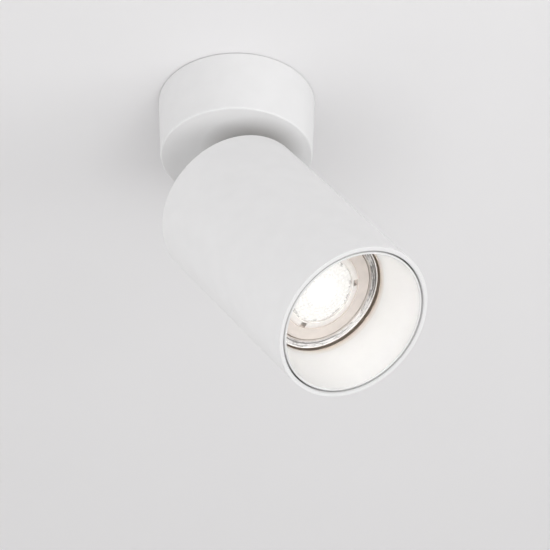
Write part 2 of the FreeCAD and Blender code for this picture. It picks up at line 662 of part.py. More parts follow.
def make_tilt_screw():
    """A shoulder screw through both ears and the tongue, with a slotted head, and its locking nut."""
    ear_face = s.ear_gap + s.ear_sheet
    screw = new_body("tilt_screw", aim)
    pad(screw, circles(new_sketch(screw, SIDE, -ear_face), [(NONE, NONE)], s.pivot_radius), ear_face + s.pivot_end)
    pad(screw, circles(new_sketch(screw, SIDE, -ear_face), [(NONE, NONE)], s.pivot_head_radius),
        s.pivot_head_thick, back=True)
    half = s.driver_slot / 2
    cut = rectangle(new_sketch(screw, SIDE, -(ear_face + s.pivot_head_thick)), -s.pivot_head_radius,
                    s.pivot_head_radius, -half, half)
    pocket(screw, cut, s.driver_depth)

    nut = new_body("tilt_nut", aim)
    pad(nut, hexagon(new_sketch(nut, SIDE, ear_face), s.pivot_nut_across), s.pivot_nut_thick)
    pocket_both_ways(nut, circles(new_sketch(nut, SIDE), [(NONE, NONE)], s.pivot_radius))


def make_tilt_washers():
    """Two friction washers, one each side of the tongue."""
    piece = new_body("tilt_washers", aim)
    for start in (s.ear_gap - s.running_gap - s.washer_thick, -(s.ear_gap - s.running_gap)):
        disc = circles(new_sketch(piece, SIDE, start), [(NONE, NONE)], s.friction_washer)
        pad(piece, disc, s.washer_thick)
    pocket_both_ways(piece, circles(new_sketch(piece, SIDE), [(NONE, NONE)], s.pivot_radius))


# ------------------------------------------------------------------------------------------------ head

head_bore = s.head_radius - s.head_wall


def make_head_tube():
    """The plain aluminium tube with a rounded back edge and a finely broken front edge."""
    piece = new_body("head_tube", aim)
    revolve(piece, [
        (head_bore, -s.head_back),
        (s.head_radius - s.back_rounding, -s.head_back, s.back_rounding),
        (s.head_radius, s.back_rounding - s.head_back),
        (s.head_radius, s.head_front - s.front_rounding, s.front_rounding),
        (s.head_radius - s.front_rounding, s.head_front),
        (head_bore + s.front_rounding, s.head_front, s.front_rounding),
        (head_bore, s.head_front - s.front_rounding),
    ])


def make_head_cap():
    """The cap in the tube's back end: a disc with a skirt, two posts and an opening for stem and leads."""
    piece = new_body("head_cap", aim)
    outer = head_bore - s.running_gap
    inner = outer - s.cap_skirt_wall
    revolve(piece, [
        (NONE, -s.cap_thick), (outer, -s.cap_thick), (outer, s.cap_skirt), (inner, s.cap_skirt),
        (inner, NONE), (NONE, NONE),
    ])
    corner = s.cap_open_corner
    near, far, half = s.cap_open_near, s.cap_open_far, s.cap_open_half
    opening = new_sketch(piece, TOP, -s.cap_thick)
    outline(opening, [
        (-near + corner, -half), (far - corner, -half, corner), (far, -half + corner),
        (far, half - corner, corner), (far - corner, half), (-near + corner, half, corner),
        (-near, half - corner), (-near, -half + corner, corner),
    ])
    pocket(piece, opening, s.cap_thick)
    pad(piece, circles(new_sketch(piece, TOP, -s.cap_thick), plate_screw_places(), s.post_radius),
        s.cap_thick + s.plate_rest)
    places = plate_screw_places() + foot_screw_places()
    pocket(piece, circles(new_sketch(piece, TOP, -s.cap_thick), places, s.small_screw_radius),
           s.cap_thick + s.plate_rest)


def make_lampholder_bridge():
    """A bent steel strip that stands on the cap and carries the lampholder."""
    piece = new_body("lampholder_bridge", aim)
    top = s.bridge_top + s.bridge_sheet
    inner = s.bridge_half - s.bridge_sheet
    strip = new_sketch(piece, SIDE)
    outline(strip, [
        (-s.bridge_foot, NONE), (-inner, NONE), (-inner, s.bridge_top), (inner, s.bridge_top), (inner, NONE),
        (s.bridge_foot, NONE), (s.bridge_foot, s.bridge_sheet), (s.bridge_half, s.bridge_sheet),
        (s.bridge_half, top), (-s.bridge_half, top), (-s.bridge_half, s.bridge_sheet),
        (-s.bridge_foot, s.bridge_sheet),
    ])
    pad_both_ways(piece, strip, s.bridge_width)
    pocket(piece, circles(new_sketch(piece, TOP), foot_screw_places(), s.small_screw_radius), s.bridge_sheet)
    places = holder_screw_places()
    pocket(piece, circles(new_sketch(piece, TOP, s.bridge_top), places, s.small_screw_radius), s.bridge_sheet)
    half = s.lead_radius * 2
    for side in (1, -1):
        low, high = s.pin_place * side - half, s.pin_place * side + half
        pocket(piece, rectangle(new_sketch(piece, TOP, s.bridge_top), -half, half, low, high), s.bridge_sheet)


def holder_screw_places():
    return [(s.holder_screw_place, NONE), (-s.holder_screw_place, NONE)]


def make_head_fasteners():
    """The screws inside the head."""
    plate_top = s.plate_rest + s.ear_sheet
    screws("tilt_bracket_screws", aim, plate_screw_places(), plate_top, plate_top + s.cap_thick,
           s.small_screw_radius - s.running_gap, s.small_head_radius, s.small_head_rise)
    screws("bridge_screws", aim, foot_screw_places(), s.bridge_sheet, s.bridge_sheet + s.cap_thick,
           s.small_screw_radius - s.running_gap, s.small_head_radius, s.small_head_rise)
    seat = s.holder_face - s.holder_screw_well
    screws("lampholder_screws", aim, holder_screw_places(), seat, seat - s.bridge_top + s.screw_end,
           s.small_screw_radius - s.running_gap, s.small_head_radius, s.small_head_rise)


# ------------------------------------------------------------------------------------------ lampholder

holder_back = s.bridge_top + s.bridge_sheet
contact_near = s.pin_place + s.pin_head_radius + s.part_gap


def make_lampholder():
    """A stepped ceramic holder with two twist-lock keyholes, screw wells and lead holes in its back."""
    piece = new_body("lampholder", aim)
    edge = s.canopy_rounding
    revolve(piece, [
        (NONE, holder_back), (s.holder_waist, holder_back), (s.holder_waist, s.holder_step),
        (s.holder_radius, s.holder_step + s.holder_slope), (s.holder_radius, s.holder_face - edge, edge),
        (s.holder_radius - edge, s.holder_face), (NONE, s.holder_face),
    ])
    depth = s.holder_face - s.pin_cavity_floor
    turn = SIZES["pin_slot_turn"]
    for rest in (90, 270):
        entry = circles(new_sketch(piece, TOP, s.holder_face), [at_turn(s.pin_place, rest - turn)],
                        s.pin_entry_radius)
        pocket(piece, entry, depth, back=False)
        for sketch_at, half_width, cut in (
            (s.holder_face, s.pin_slot_width / 2, s.holder_face - s.pin_cavity_top),
            (s.pin_cavity_top, s.pin_entry_radius, s.pin_cavity_top - s.pin_cavity_floor),
        ):
            track = new_sketch(piece, TOP, sketch_at, rest - 90)
            pocket(piece, keyhole_track(track, turn, half_width), cut, back=False)
    wells = circles(new_sketch(piece, TOP, s.holder_face), holder_screw_places(), s.small_head_radius + s.running_gap * 4)
    pocket(piece, wells, s.holder_screw_well, back=False)
    shafts = circles(new_sketch(piece, TOP, holder_back), holder_screw_places(), s.small_screw_radius)
    pocket(piece, shafts, s.holder_face - holder_back)
    half, reach = s.contact_width / 2 + s.running_gap, contact_near + s.contact_sheet + s.running_gap
    for low, high in ((s.pin_place, reach), (-reach, -s.pin_place)):
        recess = rectangle(new_sketch(piece, TOP, s.pin_cavity_top), -half, half, low, high)
        pocket(piece, recess, s.pin_cavity_top - s.pin_cavity_floor, back=False)
    backs = circles(new_sketch(piece, TOP, holder_back), [(NONE, s.pin_place), (NONE, -s.pin_place)],
                    s.lead_radius + s.running_gap)
    pocket(piece, backs, s.pin_place)


def keyhole_track(drawing, turn, half_width):
    """The curved track of one lamp pin, ending at 90 degrees, where the pin locks."""
    inner, outer = s.pin_place - half_width, s.pin_place + half_width
    start = 90 - turn
    corners = [at_turn(outer, start), (NONE, outer), (NONE, inner), at_turn(inner, start)]
    return outline(drawing, [(*corners[0], outer), (*corners[1], half_width), (*corners[2], -inner), corners[3]])


def make_lampholder_contacts():
    """Two nickelled contact blades that bear on the lamp's pins."""
    piece = new_body("lampholder_contacts", aim)
    half = s.contact_width / 2
    for low in (contact_near, -(contact_near + s.contact_sheet)):
        blade = rectangle(new_sketch(piece, TOP, s.pin_cavity_floor), -half, half, low, low + s.contact_sheet)
        pad(piece, blade, s.pin_cavity_top - s.pin_cavity_floor - s.part_gap)


# ------------------------------------------------------------------------------------------------ lamp

def make_lamp_base():
    """The lamp's white foot and its two mushroom pins."""
    piece = new_body("lamp_base", aim)
    revolve(piece, [
        (NONE, s.lamp_foot), (s.base_radius - s.canopy_rounding, s.lamp_foot, s.canopy_rounding),
        (s.base_radius, s.lamp_foot + s.canopy_rounding), (s.base_radius, s.base_top - s.base_step * 2),
        (s.base_shoulder, s.base_top - s.base_step), (s.base_shoulder, s.base_top), (NONE, s.base_top),
    ])
    pins = new_body("lamp_pins", aim)
    places = [(NONE, s.pin_place), (NONE, -s.pin_place)]
    pad(pins, circles(new_sketch(pins, TOP, s.pin_end), places, s.pin_head_radius), s.pin_neck_end - s.pin_end)
    pad(pins, circles(new_sketch(pins, TOP, s.pin_neck_end), places, s.pin_neck_radius),
        s.lamp_foot - s.pin_neck_end)


def make_lamp_glass():
    """The clear bowl with its straight rim, open at the front where the cup and lens show."""
    piece = new_body("lamp_glass", aim)
    wall = s.glass_wall
    bend = s.glass_bend - s.rim_height
    revolve(piece, [
        (s.base_shoulder, s.base_top), (s.base_shoulder + s.glass_foot_edge, s.base_top, s.glass_bow),
        (s.glass_radius, s.glass_bend), (s.glass_radius, s.glass_front - s.glass_sag, s.glass_sag),
        (s.glass_radius - s.glass_sag, s.glass_front), (s.glass_rim, s.glass_front - s.glass_sag),
        (s.glass_rim, s.cup_front - s.rim_height), (s.glass_radius - wall, bend, wall - s.glass_bow),
        (s.base_shoulder - wall, s.base_top + s.glass_foot), (s.base_shoulder - wall, s.base_top),
    ])


def make_lamp_cup():
    """The metal cup inside the glass that carries the light source and the lens."""
    piece = new_body("lamp_cup", aim)
    inset = s.glass_wall + s.cup_gap
    revolve(piece, [
        (NONE, s.base_top + s.part_gap), (s.base_shoulder - inset, s.base_top + s.part_gap),
        (s.base_shoulder - inset, s.base_top + s.glass_foot, s.glass_bow - inset),
        (s.glass_radius - inset - s.part_gap, s.glass_bend - s.rim_height),
        (s.cup_radius, s.cup_front - s.rim_height), (s.cup_radius, s.cup_front),
        (s.cup_step_radius, s.cup_step), (s.cup_step_radius, s.ring_foot),
        (s.lens_radius, s.ring_foot), (s.lens_radius, s.cup_pocket), (NONE, s.cup_pocket),
    ])


def chip_places():
    turns = range(0, 360, 360 // SIZES["chip_count"])
    return [(NONE, NONE)] + [at_turn(s.chip_ring, turn) for turn in turns]


def make_light_source():
    """The round circuit board in the cup's pocket and the light-emitting chips on it."""
    board = new_body("lamp_board", aim)
    pad(board, circles(new_sketch(board, TOP, s.cup_pocket), [(NONE, NONE)], s.lens_radius - s.running_gap),
        s.board_thick)
    chips = new_body("lamp_chips", aim)
    half = s.chip_size / 2
    for x, y in chip_places():
        square = new_sketch(chips, TOP, s.cup_pocket + s.board_thick)
        pad(chips, rectangle(square, x - half, x + half, y - half, y + half), s.chip_thick)


def make_lens_ring():
    """The white ring round the lens, with three square notches in its outer edge."""
    piece = new_body("lamp_lens_ring", aim, s.notch_turn)
    outer = s.ring_outer
    revolve(piece, [
        (s.ring_inner, s.ring_foot), (outer, s.ring_foot), (outer, s.ring_front - s.ring_slope),
        (s.ring_inner + s.lens_step, s.ring_front), (s.ring_inner, s.ring_front),
    ])
    along, across = s.notch_wide / 2, s.notch_long / 2
    notch = new_sketch(piece, TOP, s.ring_front)
    rectangle(notch, s.notch_place - along, s.notch_place + along, -across, across)
    pattern(piece, [pocket(piece, notch, s.notch_depth, back=False)], SIZES["notch_count"])


def make_lens():
    """The moulded lens: a domed eye, two rings of stepped prisms and a faceted edge."""
    piece = new_body("lamp_lens", aim)
    edge_radius = s.lens_radius - s.running_gap
    step = s.lens_step
    middle = (s.lens_eye + edge_radius) / 2
    revolve(piece, [
        (NONE, s.lens_foot), (edge_radius, s.lens_foot), (edge_radius, s.lens_edge),
        (middle + step, s.lens_edge + step, edge_radius), (middle, s.lens_edge),
        (s.lens_eye + step, s.lens_edge + step * 2, edge_radius), (s.lens_eye, s.lens_edge + step),
        (NONE, s.lens_crown),
    ])


# ---------------------------------------------------------------------------------------- front baffle

baffle_face = s.head_front - s.baffle_recess
throat = s.head_front - s.throat_depth


def make_front_baffle():
    """The white front ring: a thin lip in the tube's mouth and a cone that narrows to the lamp."""
    piece = new_body("front_baffle", aim)
    edge = s.lip_rounding
    revolve(piece, [
        (s.baffle_throat, throat), (s.baffle_throat + s.baffle_wall, throat),
        (s.lip_radius - s.baffle_wall / 2, baffle_face - s.lip_depth),
        (s.lip_radius, baffle_face - s.lip_depth + s.baffle_wall / 2),
        (s.lip_radius, baffle_face - edge, edge), (s.lip_radius - edge, baffle_face),
        (s.baffle_mouth + edge, baffle_face, edge), (s.baffle_mouth, baffle_face - edge),
    ])


def make_baffle_springs():
    """Three bowed leaf springs that hold the baffle in the tube's bore."""
    piece = new_body("baffle_springs", aim)
    run = (s.lip_radius - s.baffle_wall / 2 - s.baffle_throat - s.baffle_wall)
    rise = baffle_face - s.lip_depth - throat

    def cone(height):
        return s.baffle_throat + s.baffle_wall + run * ((height - throat) / rise)

    low, knee, high = s.spring_low, s.spring_low + s.spring_foot, s.spring_high
    crown = (knee + high) / 2
    sheet_thick = s.spring_sheet
    tip = s.spring_crown - s.canopy_rounding
    strip = new_sketch(piece, SIDE)
    outline(strip, [
        (cone(low), low), (cone(low) + sheet_thick, low), (cone(knee) + sheet_thick, knee),
        (s.spring_crown, crown), (tip, high), (tip - sheet_thick, high), (s.spring_crown - sheet_thick, crown),
        (cone(knee), knee),
    ])
    leaf = pad_both_ways(piece, strip, s.spring_width)
    pattern(piece, [leaf], 3)


# --------------------------------------------------------------------------------------------- leads

def make_leads():
    """Leads from the terminal block through the stem to the lampholder. They pass the tilt joint on its
    axis, so the stem's leads and the head's leads stay end to end as the head tilts."""
    block_face = -s.block_near
    block_end = block_face - s.lead_end
    offset, radius = s.lead_offset, s.lead_radius
    stem_mouth = s.thread_top - s.part_gap * 2
    in_canopy = []
    in_stem = []
    in_head = []
    for side, row in ((1, s.pole_pitch), (-1, -s.pole_pitch)):
        in_canopy.append([
            (block_end, row, pole_depth), (block_face + s.lead_straight, row, pole_depth),
            (block_face + s.lead_gather, row * s.lead_gather_share, pole_depth - s.lead_gather_rise),
            (-s.lead_gather_rise, offset * side, pole_depth + s.lead_drop), (NONE, offset * side, stem_mouth),
        ])
        in_stem.append([
            (NONE, offset * side, s.thread_top + s.part_gap),
            (NONE, offset * side, s.window_top + s.lead_stem_straight),
            (NONE, s.lead_side * side, s.shoulder_drop + s.lead_shoulder_gap),
            (NONE, s.lead_side * side, s.pivot_drop - s.lead_gap),
        ])
        in_head.append([
            (NONE, s.lead_side * side, s.lead_gap),
            (NONE, s.lead_side * side, s.plate_rest + s.lead_plate_gap),
            (NONE, s.pin_place * side, s.bridge_top - s.lead_bridge_gap),
            (NONE, s.pin_place * side, holder_back + s.lead_holder_depth),
        ])
    leads("canopy_leads", hang, in_canopy, radius)
    leads("stem_leads", hang, in_stem, radius)
    leads("head_leads", aim, in_head, radius)
    tag_x, tag_y = at_turn(s.earth_place - s.tag_neck + s.earth_tag_end, SIZES["earth_turn"])
    tag_face = s.bracket_sheet + s.tag_sheet + radius
    leads("earth_lead", hang, [[
        (block_end, NONE, pole_depth), (block_face + s.earth_straight, NONE, pole_depth),
        (block_face + s.earth_dip, -s.earth_dip_side, tag_face + s.earth_dip_lift),
        (-s.earth_swing, -s.earth_swing_side, tag_face + s.earth_lift),
        (s.earth_return, -s.earth_return_side, tag_face + s.earth_lift),
        (tag_x, tag_y, tag_face),
    ]], radius)


# ------------------------------------------------------------------------------------------- the build

make_ceiling_bracket()
make_canopy()
make_canopy_screws()
make_cable_bushing()
make_terminal_block()
make_terminal_inserts()
make_terminal_fasteners()
make_earth_terminal()
make_pan_washer()
make_stop_pin()
make_swivel_stem()
make_stem_stack()
make_tilt_bracket()
make_tilt_screw()
make_tilt_washers()
make_head_tube()
make_head_cap()
make_lampholder_bridge()
make_head_fasteners()
make_lampholder()
make_lampholder_contacts()
make_lamp_base()
make_lamp_glass()
make_lamp_cup()
make_light_source()
make_lens_ring()
make_lens()
make_front_baffle()
make_baffle_springs()
make_leads()
doc.recompute()

for thing in doc.Objects:
    if "Invalid" in thing.State or "Error" in thing.State:
        raise RuntimeError(f"{thing.Name} ({thing.Label}) failed: {thing.State}")
for node in nodes:
    if node.Shape.isNull() or not node.Shape.isValid():
        raise RuntimeError(f"{node.Label} has no valid shape")

os.makedirs("parts", exist_ok=True)
for node in nodes:
    node.Shape.exportStep(f"parts/{node.Label}.step")
    print(f"{node.Label}: {len(node.Shape.Solids)} solid(s), {node.Shape.Volume:.1f} cubic mm")
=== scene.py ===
"""Finishes, lens, glass, studio and camera for a surface mounted ceiling spotlight.

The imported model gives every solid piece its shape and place. This script gives each of them a
procedural finish, models the lamp's domed lens and its glass bowl with a pressed rim, and hangs
the light under a pale ceiling in soft studio light. Lengths are in metres.
"""
import json
import math

import bmesh
import bpy
from bpy.props import FloatProperty, FloatVectorProperty, PointerProperty
from mathutils import Matrix, Quaternion, Vector, noise

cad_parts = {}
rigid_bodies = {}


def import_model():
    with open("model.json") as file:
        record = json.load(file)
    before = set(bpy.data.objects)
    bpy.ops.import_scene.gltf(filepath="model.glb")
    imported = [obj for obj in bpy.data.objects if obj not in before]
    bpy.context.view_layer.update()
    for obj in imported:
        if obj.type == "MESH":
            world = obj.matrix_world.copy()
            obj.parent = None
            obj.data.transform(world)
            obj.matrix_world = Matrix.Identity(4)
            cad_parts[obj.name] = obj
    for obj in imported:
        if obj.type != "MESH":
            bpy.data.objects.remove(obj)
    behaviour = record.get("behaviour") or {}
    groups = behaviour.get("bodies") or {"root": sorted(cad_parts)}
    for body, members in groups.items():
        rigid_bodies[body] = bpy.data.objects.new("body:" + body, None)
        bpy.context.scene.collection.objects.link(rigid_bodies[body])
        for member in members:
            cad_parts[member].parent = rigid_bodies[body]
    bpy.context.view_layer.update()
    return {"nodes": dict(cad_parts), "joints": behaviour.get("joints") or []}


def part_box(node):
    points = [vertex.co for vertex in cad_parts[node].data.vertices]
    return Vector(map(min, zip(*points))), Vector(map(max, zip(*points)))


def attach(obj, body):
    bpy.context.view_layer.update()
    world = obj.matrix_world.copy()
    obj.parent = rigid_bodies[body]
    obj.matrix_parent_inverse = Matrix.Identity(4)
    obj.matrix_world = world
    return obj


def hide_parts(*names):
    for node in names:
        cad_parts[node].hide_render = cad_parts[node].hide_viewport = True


for leftover in list(bpy.data.objects):
    bpy.data.objects.remove(leftover)
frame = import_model()

bl_info = {
    "name": "Ceiling spotlight",
    "version": (1, 0, 0),
    "blender": (4, 5, 0),
    "location": "3D View > Sidebar > Spotlight",
    "description": "Finishes, lens, glass, studio and camera for a ceiling spotlight",
    "category": "Object",
}

MM = 0.001  # a millimetre, in metres
JOINTS = {joint["name"]: joint for joint in frame["joints"]}


def head_matrix():
    """The head's own frame: z runs from the tilt pivot out through the lamp, y along the pivot."""
    forward = Vector(JOINTS["baffle_pull"]["axis"]).normalized()
    across = -Vector(JOINTS["head_tilt"]["axis"]).normalized()
    axes = Matrix((across.cross(forward), across, forward)).transposed().to_4x4()
    return Matrix.Translation(Vector(JOINTS["head_tilt"]["pos_m"])) @ axes


HEAD = head_matrix()


def along_head(node):
    """How far back and forward a node reaches along the head, and its greatest radius."""
    to_head = HEAD.inverted()
    points = [to_head @ vertex.co for vertex in frame["nodes"][node].data.vertices]
    depths = [point.z for point in points]
    return min(depths), max(depths), max(point.xy.length for point in points)


# Sizes and colours that a user would change.


class PaintSettings(bpy.types.PropertyGroup):
    """The powder coat on the canopy, the stem, the head and the baffle."""

    colour: FloatVectorProperty(
        name="Paint", description="Colour of the powder coat", subtype="COLOR",
        size=3, min=0, max=1, default=(0.80, 0.80, 0.80))
    baffle_colour: FloatVectorProperty(
        name="Baffle paint", description="Colour of the baffle's coat", subtype="COLOR",
        size=3, min=0, max=1, default=(0.83, 0.83, 0.822))
    roughness: FloatProperty(
        name="Roughness", description="How matt the coat is", subtype="FACTOR",
        min=0, max=1, default=0.52)
    grain: FloatProperty(
        name="Grain", description="Width of the coat's fine texture", unit="LENGTH",
        min=0.0001, max=0.005, default=0.0007, precision=5)
    relief: FloatProperty(
        name="Relief", description="Depth of the coat's fine texture", unit="LENGTH",
        min=0, max=0.0005, default=0.000012, precision=6)


class LampSettings(bpy.types.PropertyGroup):
    """The lit lamp: its lens, its glass and the cup between them."""

    glow_colour: FloatVectorProperty(
        name="Glow", description="Colour of the light in the lens", subtype="COLOR",
        size=3, min=0, max=1, default=(1.0, 0.973, 0.942))
    glow_middle: FloatProperty(
        name="Glow in the middle", description="Brightness at the lens's middle",
        min=0, max=100, default=27.0)
    glow_edge: FloatProperty(
        name="Glow at the edge", description="Brightness at the lens's edge",
        min=0, max=100, default=0.385)
    prism_pitch: FloatProperty(
        name="Prism pitch", description="Distance between the lens's small domes",
        unit="LENGTH", min=0.0005, max=0.01, default=0.00175, precision=5)
    prism_height: FloatProperty(
        name="Prism height", description="How far the small domes stand out", unit="LENGTH",
        min=0, max=0.002, default=0.00042, precision=5)
    lens_sag: FloatProperty(
        name="Lens sag", description="How far the lens's edge lies behind its middle",
        unit="LENGTH", min=0, max=0.005, default=0.0012, precision=5)
    cup_colour: FloatVectorProperty(
        name="Cup", description="Colour of the satin cup round the lens ring",
        subtype="COLOR", size=3, min=0, max=1, default=(0.72, 0.66, 0.615))
    ring_colour: FloatVectorProperty(
        name="Lens ring", description="Colour of the white ring round the lens",
        subtype="COLOR", size=3, min=0, max=1, default=(0.80, 0.77, 0.74))
    glass_colour: FloatVectorProperty(
        name="Glass", description="Tint of the lamp's glass", subtype="COLOR",
        size=3, min=0, max=1, default=(0.80, 0.80, 0.79))
    spill_colour: FloatVectorProperty(
        name="Spill", description="Colour of the light that leaks past the glass",
        subtype="COLOR", size=3, min=0, max=1, default=(0.60, 0.40, 0.24))
    spill: FloatProperty(
        name="Spill strength", description="Brightness of the light that leaks past the glass",
        min=0, max=10, default=0.13)
    # The throat's colour is painted on the baffle: warm light and shade where it narrows to the
    # lamp.
    throat_colour: FloatVectorProperty(
        name="Throat", description="Colour of the warm light on the baffle's throat",
        subtype="COLOR", size=3, min=0, max=1, default=(0.74, 0.62, 0.51))
    rim_width: FloatProperty(
        name="Rim width", description="Width of the glass's front rim", unit="LENGTH",
        min=0.001, max=0.01, default=0.0034, precision=5)
    rim_flare: FloatProperty(
        name="Rim flare", description="How far the pressed rim stands out past the bowl",
        unit="LENGTH", min=0, max=0.001, default=0.0003, precision=5)
    glass_wall: FloatProperty(
        name="Glass wall", description="Thickness of the glass's wall", unit="LENGTH",
        min=0.0005, max=0.005, default=0.0015, precision=5)
    bead: FloatProperty(
        name="Bead", description="Radius of the bead round the rim's outer edge",
        unit="LENGTH", min=0.0001, max=0.001, default=0.0003, precision=5)
    ridge: FloatProperty(
        name="Ridge", description="Height of the ridges in the rim", unit="LENGTH",
        min=0, max=0.001, default=0.00028, precision=5)
    ripple: FloatProperty(
        name="Ripple", description="Height of the pressing ripples in the rim", unit="LENGTH",
        min=0, max=0.0005, default=0.0001, precision=6)


class StudioSettings(bpy.types.PropertyGroup):
    """The ceiling, the floor and the soft light."""

    ceiling_colour: FloatVectorProperty(
        name="Ceiling", description="Colour of the ceiling", subtype="COLOR",
        size=3, min=0, max=1, default=(0.80, 0.795, 0.80))
    floor_colour: FloatVectorProperty(
        name="Floor", description="Colour of the floor", subtype="COLOR",
        size=3, min=0, max=1, default=(0.80, 0.795, 0.79))
    ceiling_side: FloatProperty(
        name="Ceiling side", description="Length of the ceiling's side", unit="LENGTH",
        min=0.5, max=20, default=2.4)
    ceiling_gap: FloatProperty(
        name="Shadow gap", description="Gap between the canopy's rim and the ceiling",
        unit="LENGTH", min=0, max=0.002, default=0.0004, precision=5)
    ceiling_cover: FloatProperty(
        name="Ceiling cover", description="How far the ceiling reaches in over the canopy's rim",
        unit="LENGTH", min=0, max=0.02, default=0.002, precision=4)
    floor_drop: FloatProperty(
        name="Floor drop", description="Height of the ceiling over the floor", unit="LENGTH",
        min=0.5, max=10, default=2.5)
    sky: FloatProperty(
        name="Surrounding light", description="Brightness of the soft light all round",
        min=0, max=10, default=0.605)
    left_wall: FloatProperty(
        name="Left wall", description="Extra brightness at the camera's left",
        min=0, max=10, default=1.08)
    key_power: FloatProperty(
        name="Key light", description="Power of the soft light on the right", unit="POWER",
        min=0, max=1000, default=5.0)
    fill_power: FloatProperty(
        name="Fill light", description="Power of the light beside the camera", unit="POWER",
        min=0, max=1000, default=3.2)
    low_power: FloatProperty(
        name="Low light", description="Power of the light from below", unit="POWER",
        min=0, max=1000, default=6.0)
    panel: FloatProperty(
        name="Panel", description="Width of each light's round panel", unit="LENGTH",
        min=0.1, max=5, default=0.9)
    reach: FloatProperty(
        name="Reach", description="Distance of each panel from the light", unit="LENGTH",
        min=0.5, max=10, default=1.6)


class CameraSettings(bpy.types.PropertyGroup):
    """The camera below the light, looking up at it."""

    azimuth: FloatProperty(
        name="Azimuth", description="Turn round the light", subtype="ANGLE",
        default=math.radians(36.192))
    elevation: FloatProperty(
        name="Elevation", description="Height above the level of the light", subtype="ANGLE",
        default=math.radians(-36.361))
    roll: FloatProperty(
        name="Roll", description="Turn about the line of sight", subtype="ANGLE",
        default=math.radians(-0.231))
    distance: FloatProperty(
        name="Distance", description="Distance from the aim", unit="LENGTH",
        min=0.1, max=20, default=1.4222)
    aim: FloatVectorProperty(
        name="Aim", description="The point in the middle of the picture", subtype="XYZ",
        unit="LENGTH", size=3, default=(-0.01328, 0.04669, -0.06184))
    lens: FloatProperty(
        name="Lens", description="Focal length", unit="CAMERA", min=10, max=1000,
        default=207.5)


SETTINGS = {
    "spotlight_paint": PaintSettings,
    "spotlight_lamp": LampSettings,
    "spotlight_studio": StudioSettings,
    "spotlight_camera": CameraSettings,
}


# Finishes: materials built from nodes.


class Finish:
    """A material under construction: a shader, and the textures that vary it."""

    def __init__(self, name, roughness=0.5, **constants):
        self.material = bpy.data.materials.new(name)
        self.material.use_nodes = True
        self.nodes = self.material.node_tree.nodes
        self.links = self.material.node_tree.links
        self.shader = self.nodes["Principled BSDF"]
        self.shader.inputs["Roughness"].default_value = roughness
        for socket, value in constants.items():
            self.shader.inputs[socket.replace("_", " ")].default_value = value
        self.place = self.node("ShaderNodeTexCoord").outputs["Object"]
        self.relief = None

    def node(self, kind, inputs=None, **options):
        """Adds a node. An input that is a socket is linked, and any other value is set."""
        made = self.nodes.new(kind)
        for option, value in options.items():
            setattr(made, option, value)
        for key, value in (inputs or {}).items():
            if isinstance(value, bpy.types.NodeSocket):
                self.links.new(value, made.inputs[key])
            else:
                made.inputs[key].default_value = value
        return made

    def maths(self, operation, first, second=0.0):
        """One step of arithmetic on textures or numbers."""
        return self.node("ShaderNodeMath", {0: first, 1: second}, operation=operation).outputs[0]

    def in_head(self):
        """Coordinates in the head's own frame, with z along the head."""
        inverse = HEAD.inverted()
        return self.node(
            "ShaderNodeMapping",
            {"Vector": self.place, "Location": inverse.to_translation(),
             "Rotation": inverse.to_euler()},
            vector_type="POINT").outputs[0]

    def grain(self, size, detail=2.0, roughness=0.5, stretch=(1, 1, 1)):
        """Noise whose spots are about size wide, longer along the axes that stretch names."""
        scale = [1 / (size * times) for times in stretch]
        spread = self.node("ShaderNodeMapping", {"Vector": self.place, "Scale": scale})
        return self.node(
            "ShaderNodeTexNoise",
            {"Vector": spread.outputs[0], "Scale": 1.0, "Detail": detail,
             "Roughness": roughness}).outputs["Fac"]

    def spread(self, factor, low, high, start=0.3, end=0.7):
        """Turns a factor between start and end into a number between low and high."""
        return self.node(
            "ShaderNodeMapRange",
            {"Value": factor, "From Min": start, "From Max": end, "To Min": low, "To Max": high}
        ).outputs["Result"]

    def rise(self, factor, start=0.3, end=0.7):
        """0 where a factor is at start and 1 where it is at end, which may be the lower one."""
        return self.spread(factor, 0, 1, start, end)

    def off(self, factor, value):
        """How far a factor is from a value, either way."""
        return self.maths("ABSOLUTE", self.maths("SUBTRACT", factor, value))

    def blend(self, factor, first, second):
        """Mixes two colours."""
        mixed = self.node("ShaderNodeMix", data_type="RGBA")
        self.links.new(factor, mixed.inputs["Factor"])
        for key, value in (("A", first), ("B", second)):
            socket = next(s for s in mixed.inputs if s.name == key and s.type == "RGBA")
            if isinstance(value, bpy.types.NodeSocket):
                self.links.new(value, socket)
            else:
                socket.default_value = (*value, 1)
        return next(s for s in mixed.outputs if s.type == "RGBA")

    def to(self, socket, value):
        """Sends a texture to one of the shader's sockets."""
        self.links.new(value, self.shader.inputs[socket])
        return self

    def glow(self, colour, strength):
        """Gives off light of one colour, as bright as a texture says."""
        self.shader.inputs["Emission Color"].default_value = (*colour, 1)
        return self.to("Emission Strength", strength)

    def emboss(self, height, depth):
        """Raises the surface by height times depth, over what was raised before."""
        inputs = {"Height": height, "Distance": depth, "Strength": 1.0}
        if self.relief:
            inputs["Normal"] = self.relief
        self.relief = self.node("ShaderNodeBump", inputs).outputs["Normal"]
        return self.to("Normal", self.relief)


def tint(colour, times):
    """A colour made darker or lighter, and white at most."""
    return tuple(min(1.0, part * times) for part in colour)


def place_in_head(finish):
    """Distance from the head's axis, then how far down, sideways and forward along the head."""
    down, sideways, forward = finish.node(
        "ShaderNodeSeparateXYZ", {0: finish.in_head()}).outputs
    squares = finish.maths(
        "ADD", finish.maths("MULTIPLY", down, down), finish.maths("MULTIPLY", sideways, sideways))
    return finish.maths("SQRT", squares), down, sideways, forward


def front_edge(finish, forward, front):
    """1 on a piece's front edge, falling to 0 just behind it."""
    return finish.rise(forward, front - 0.6 * MM, front - 0.2 * MM)


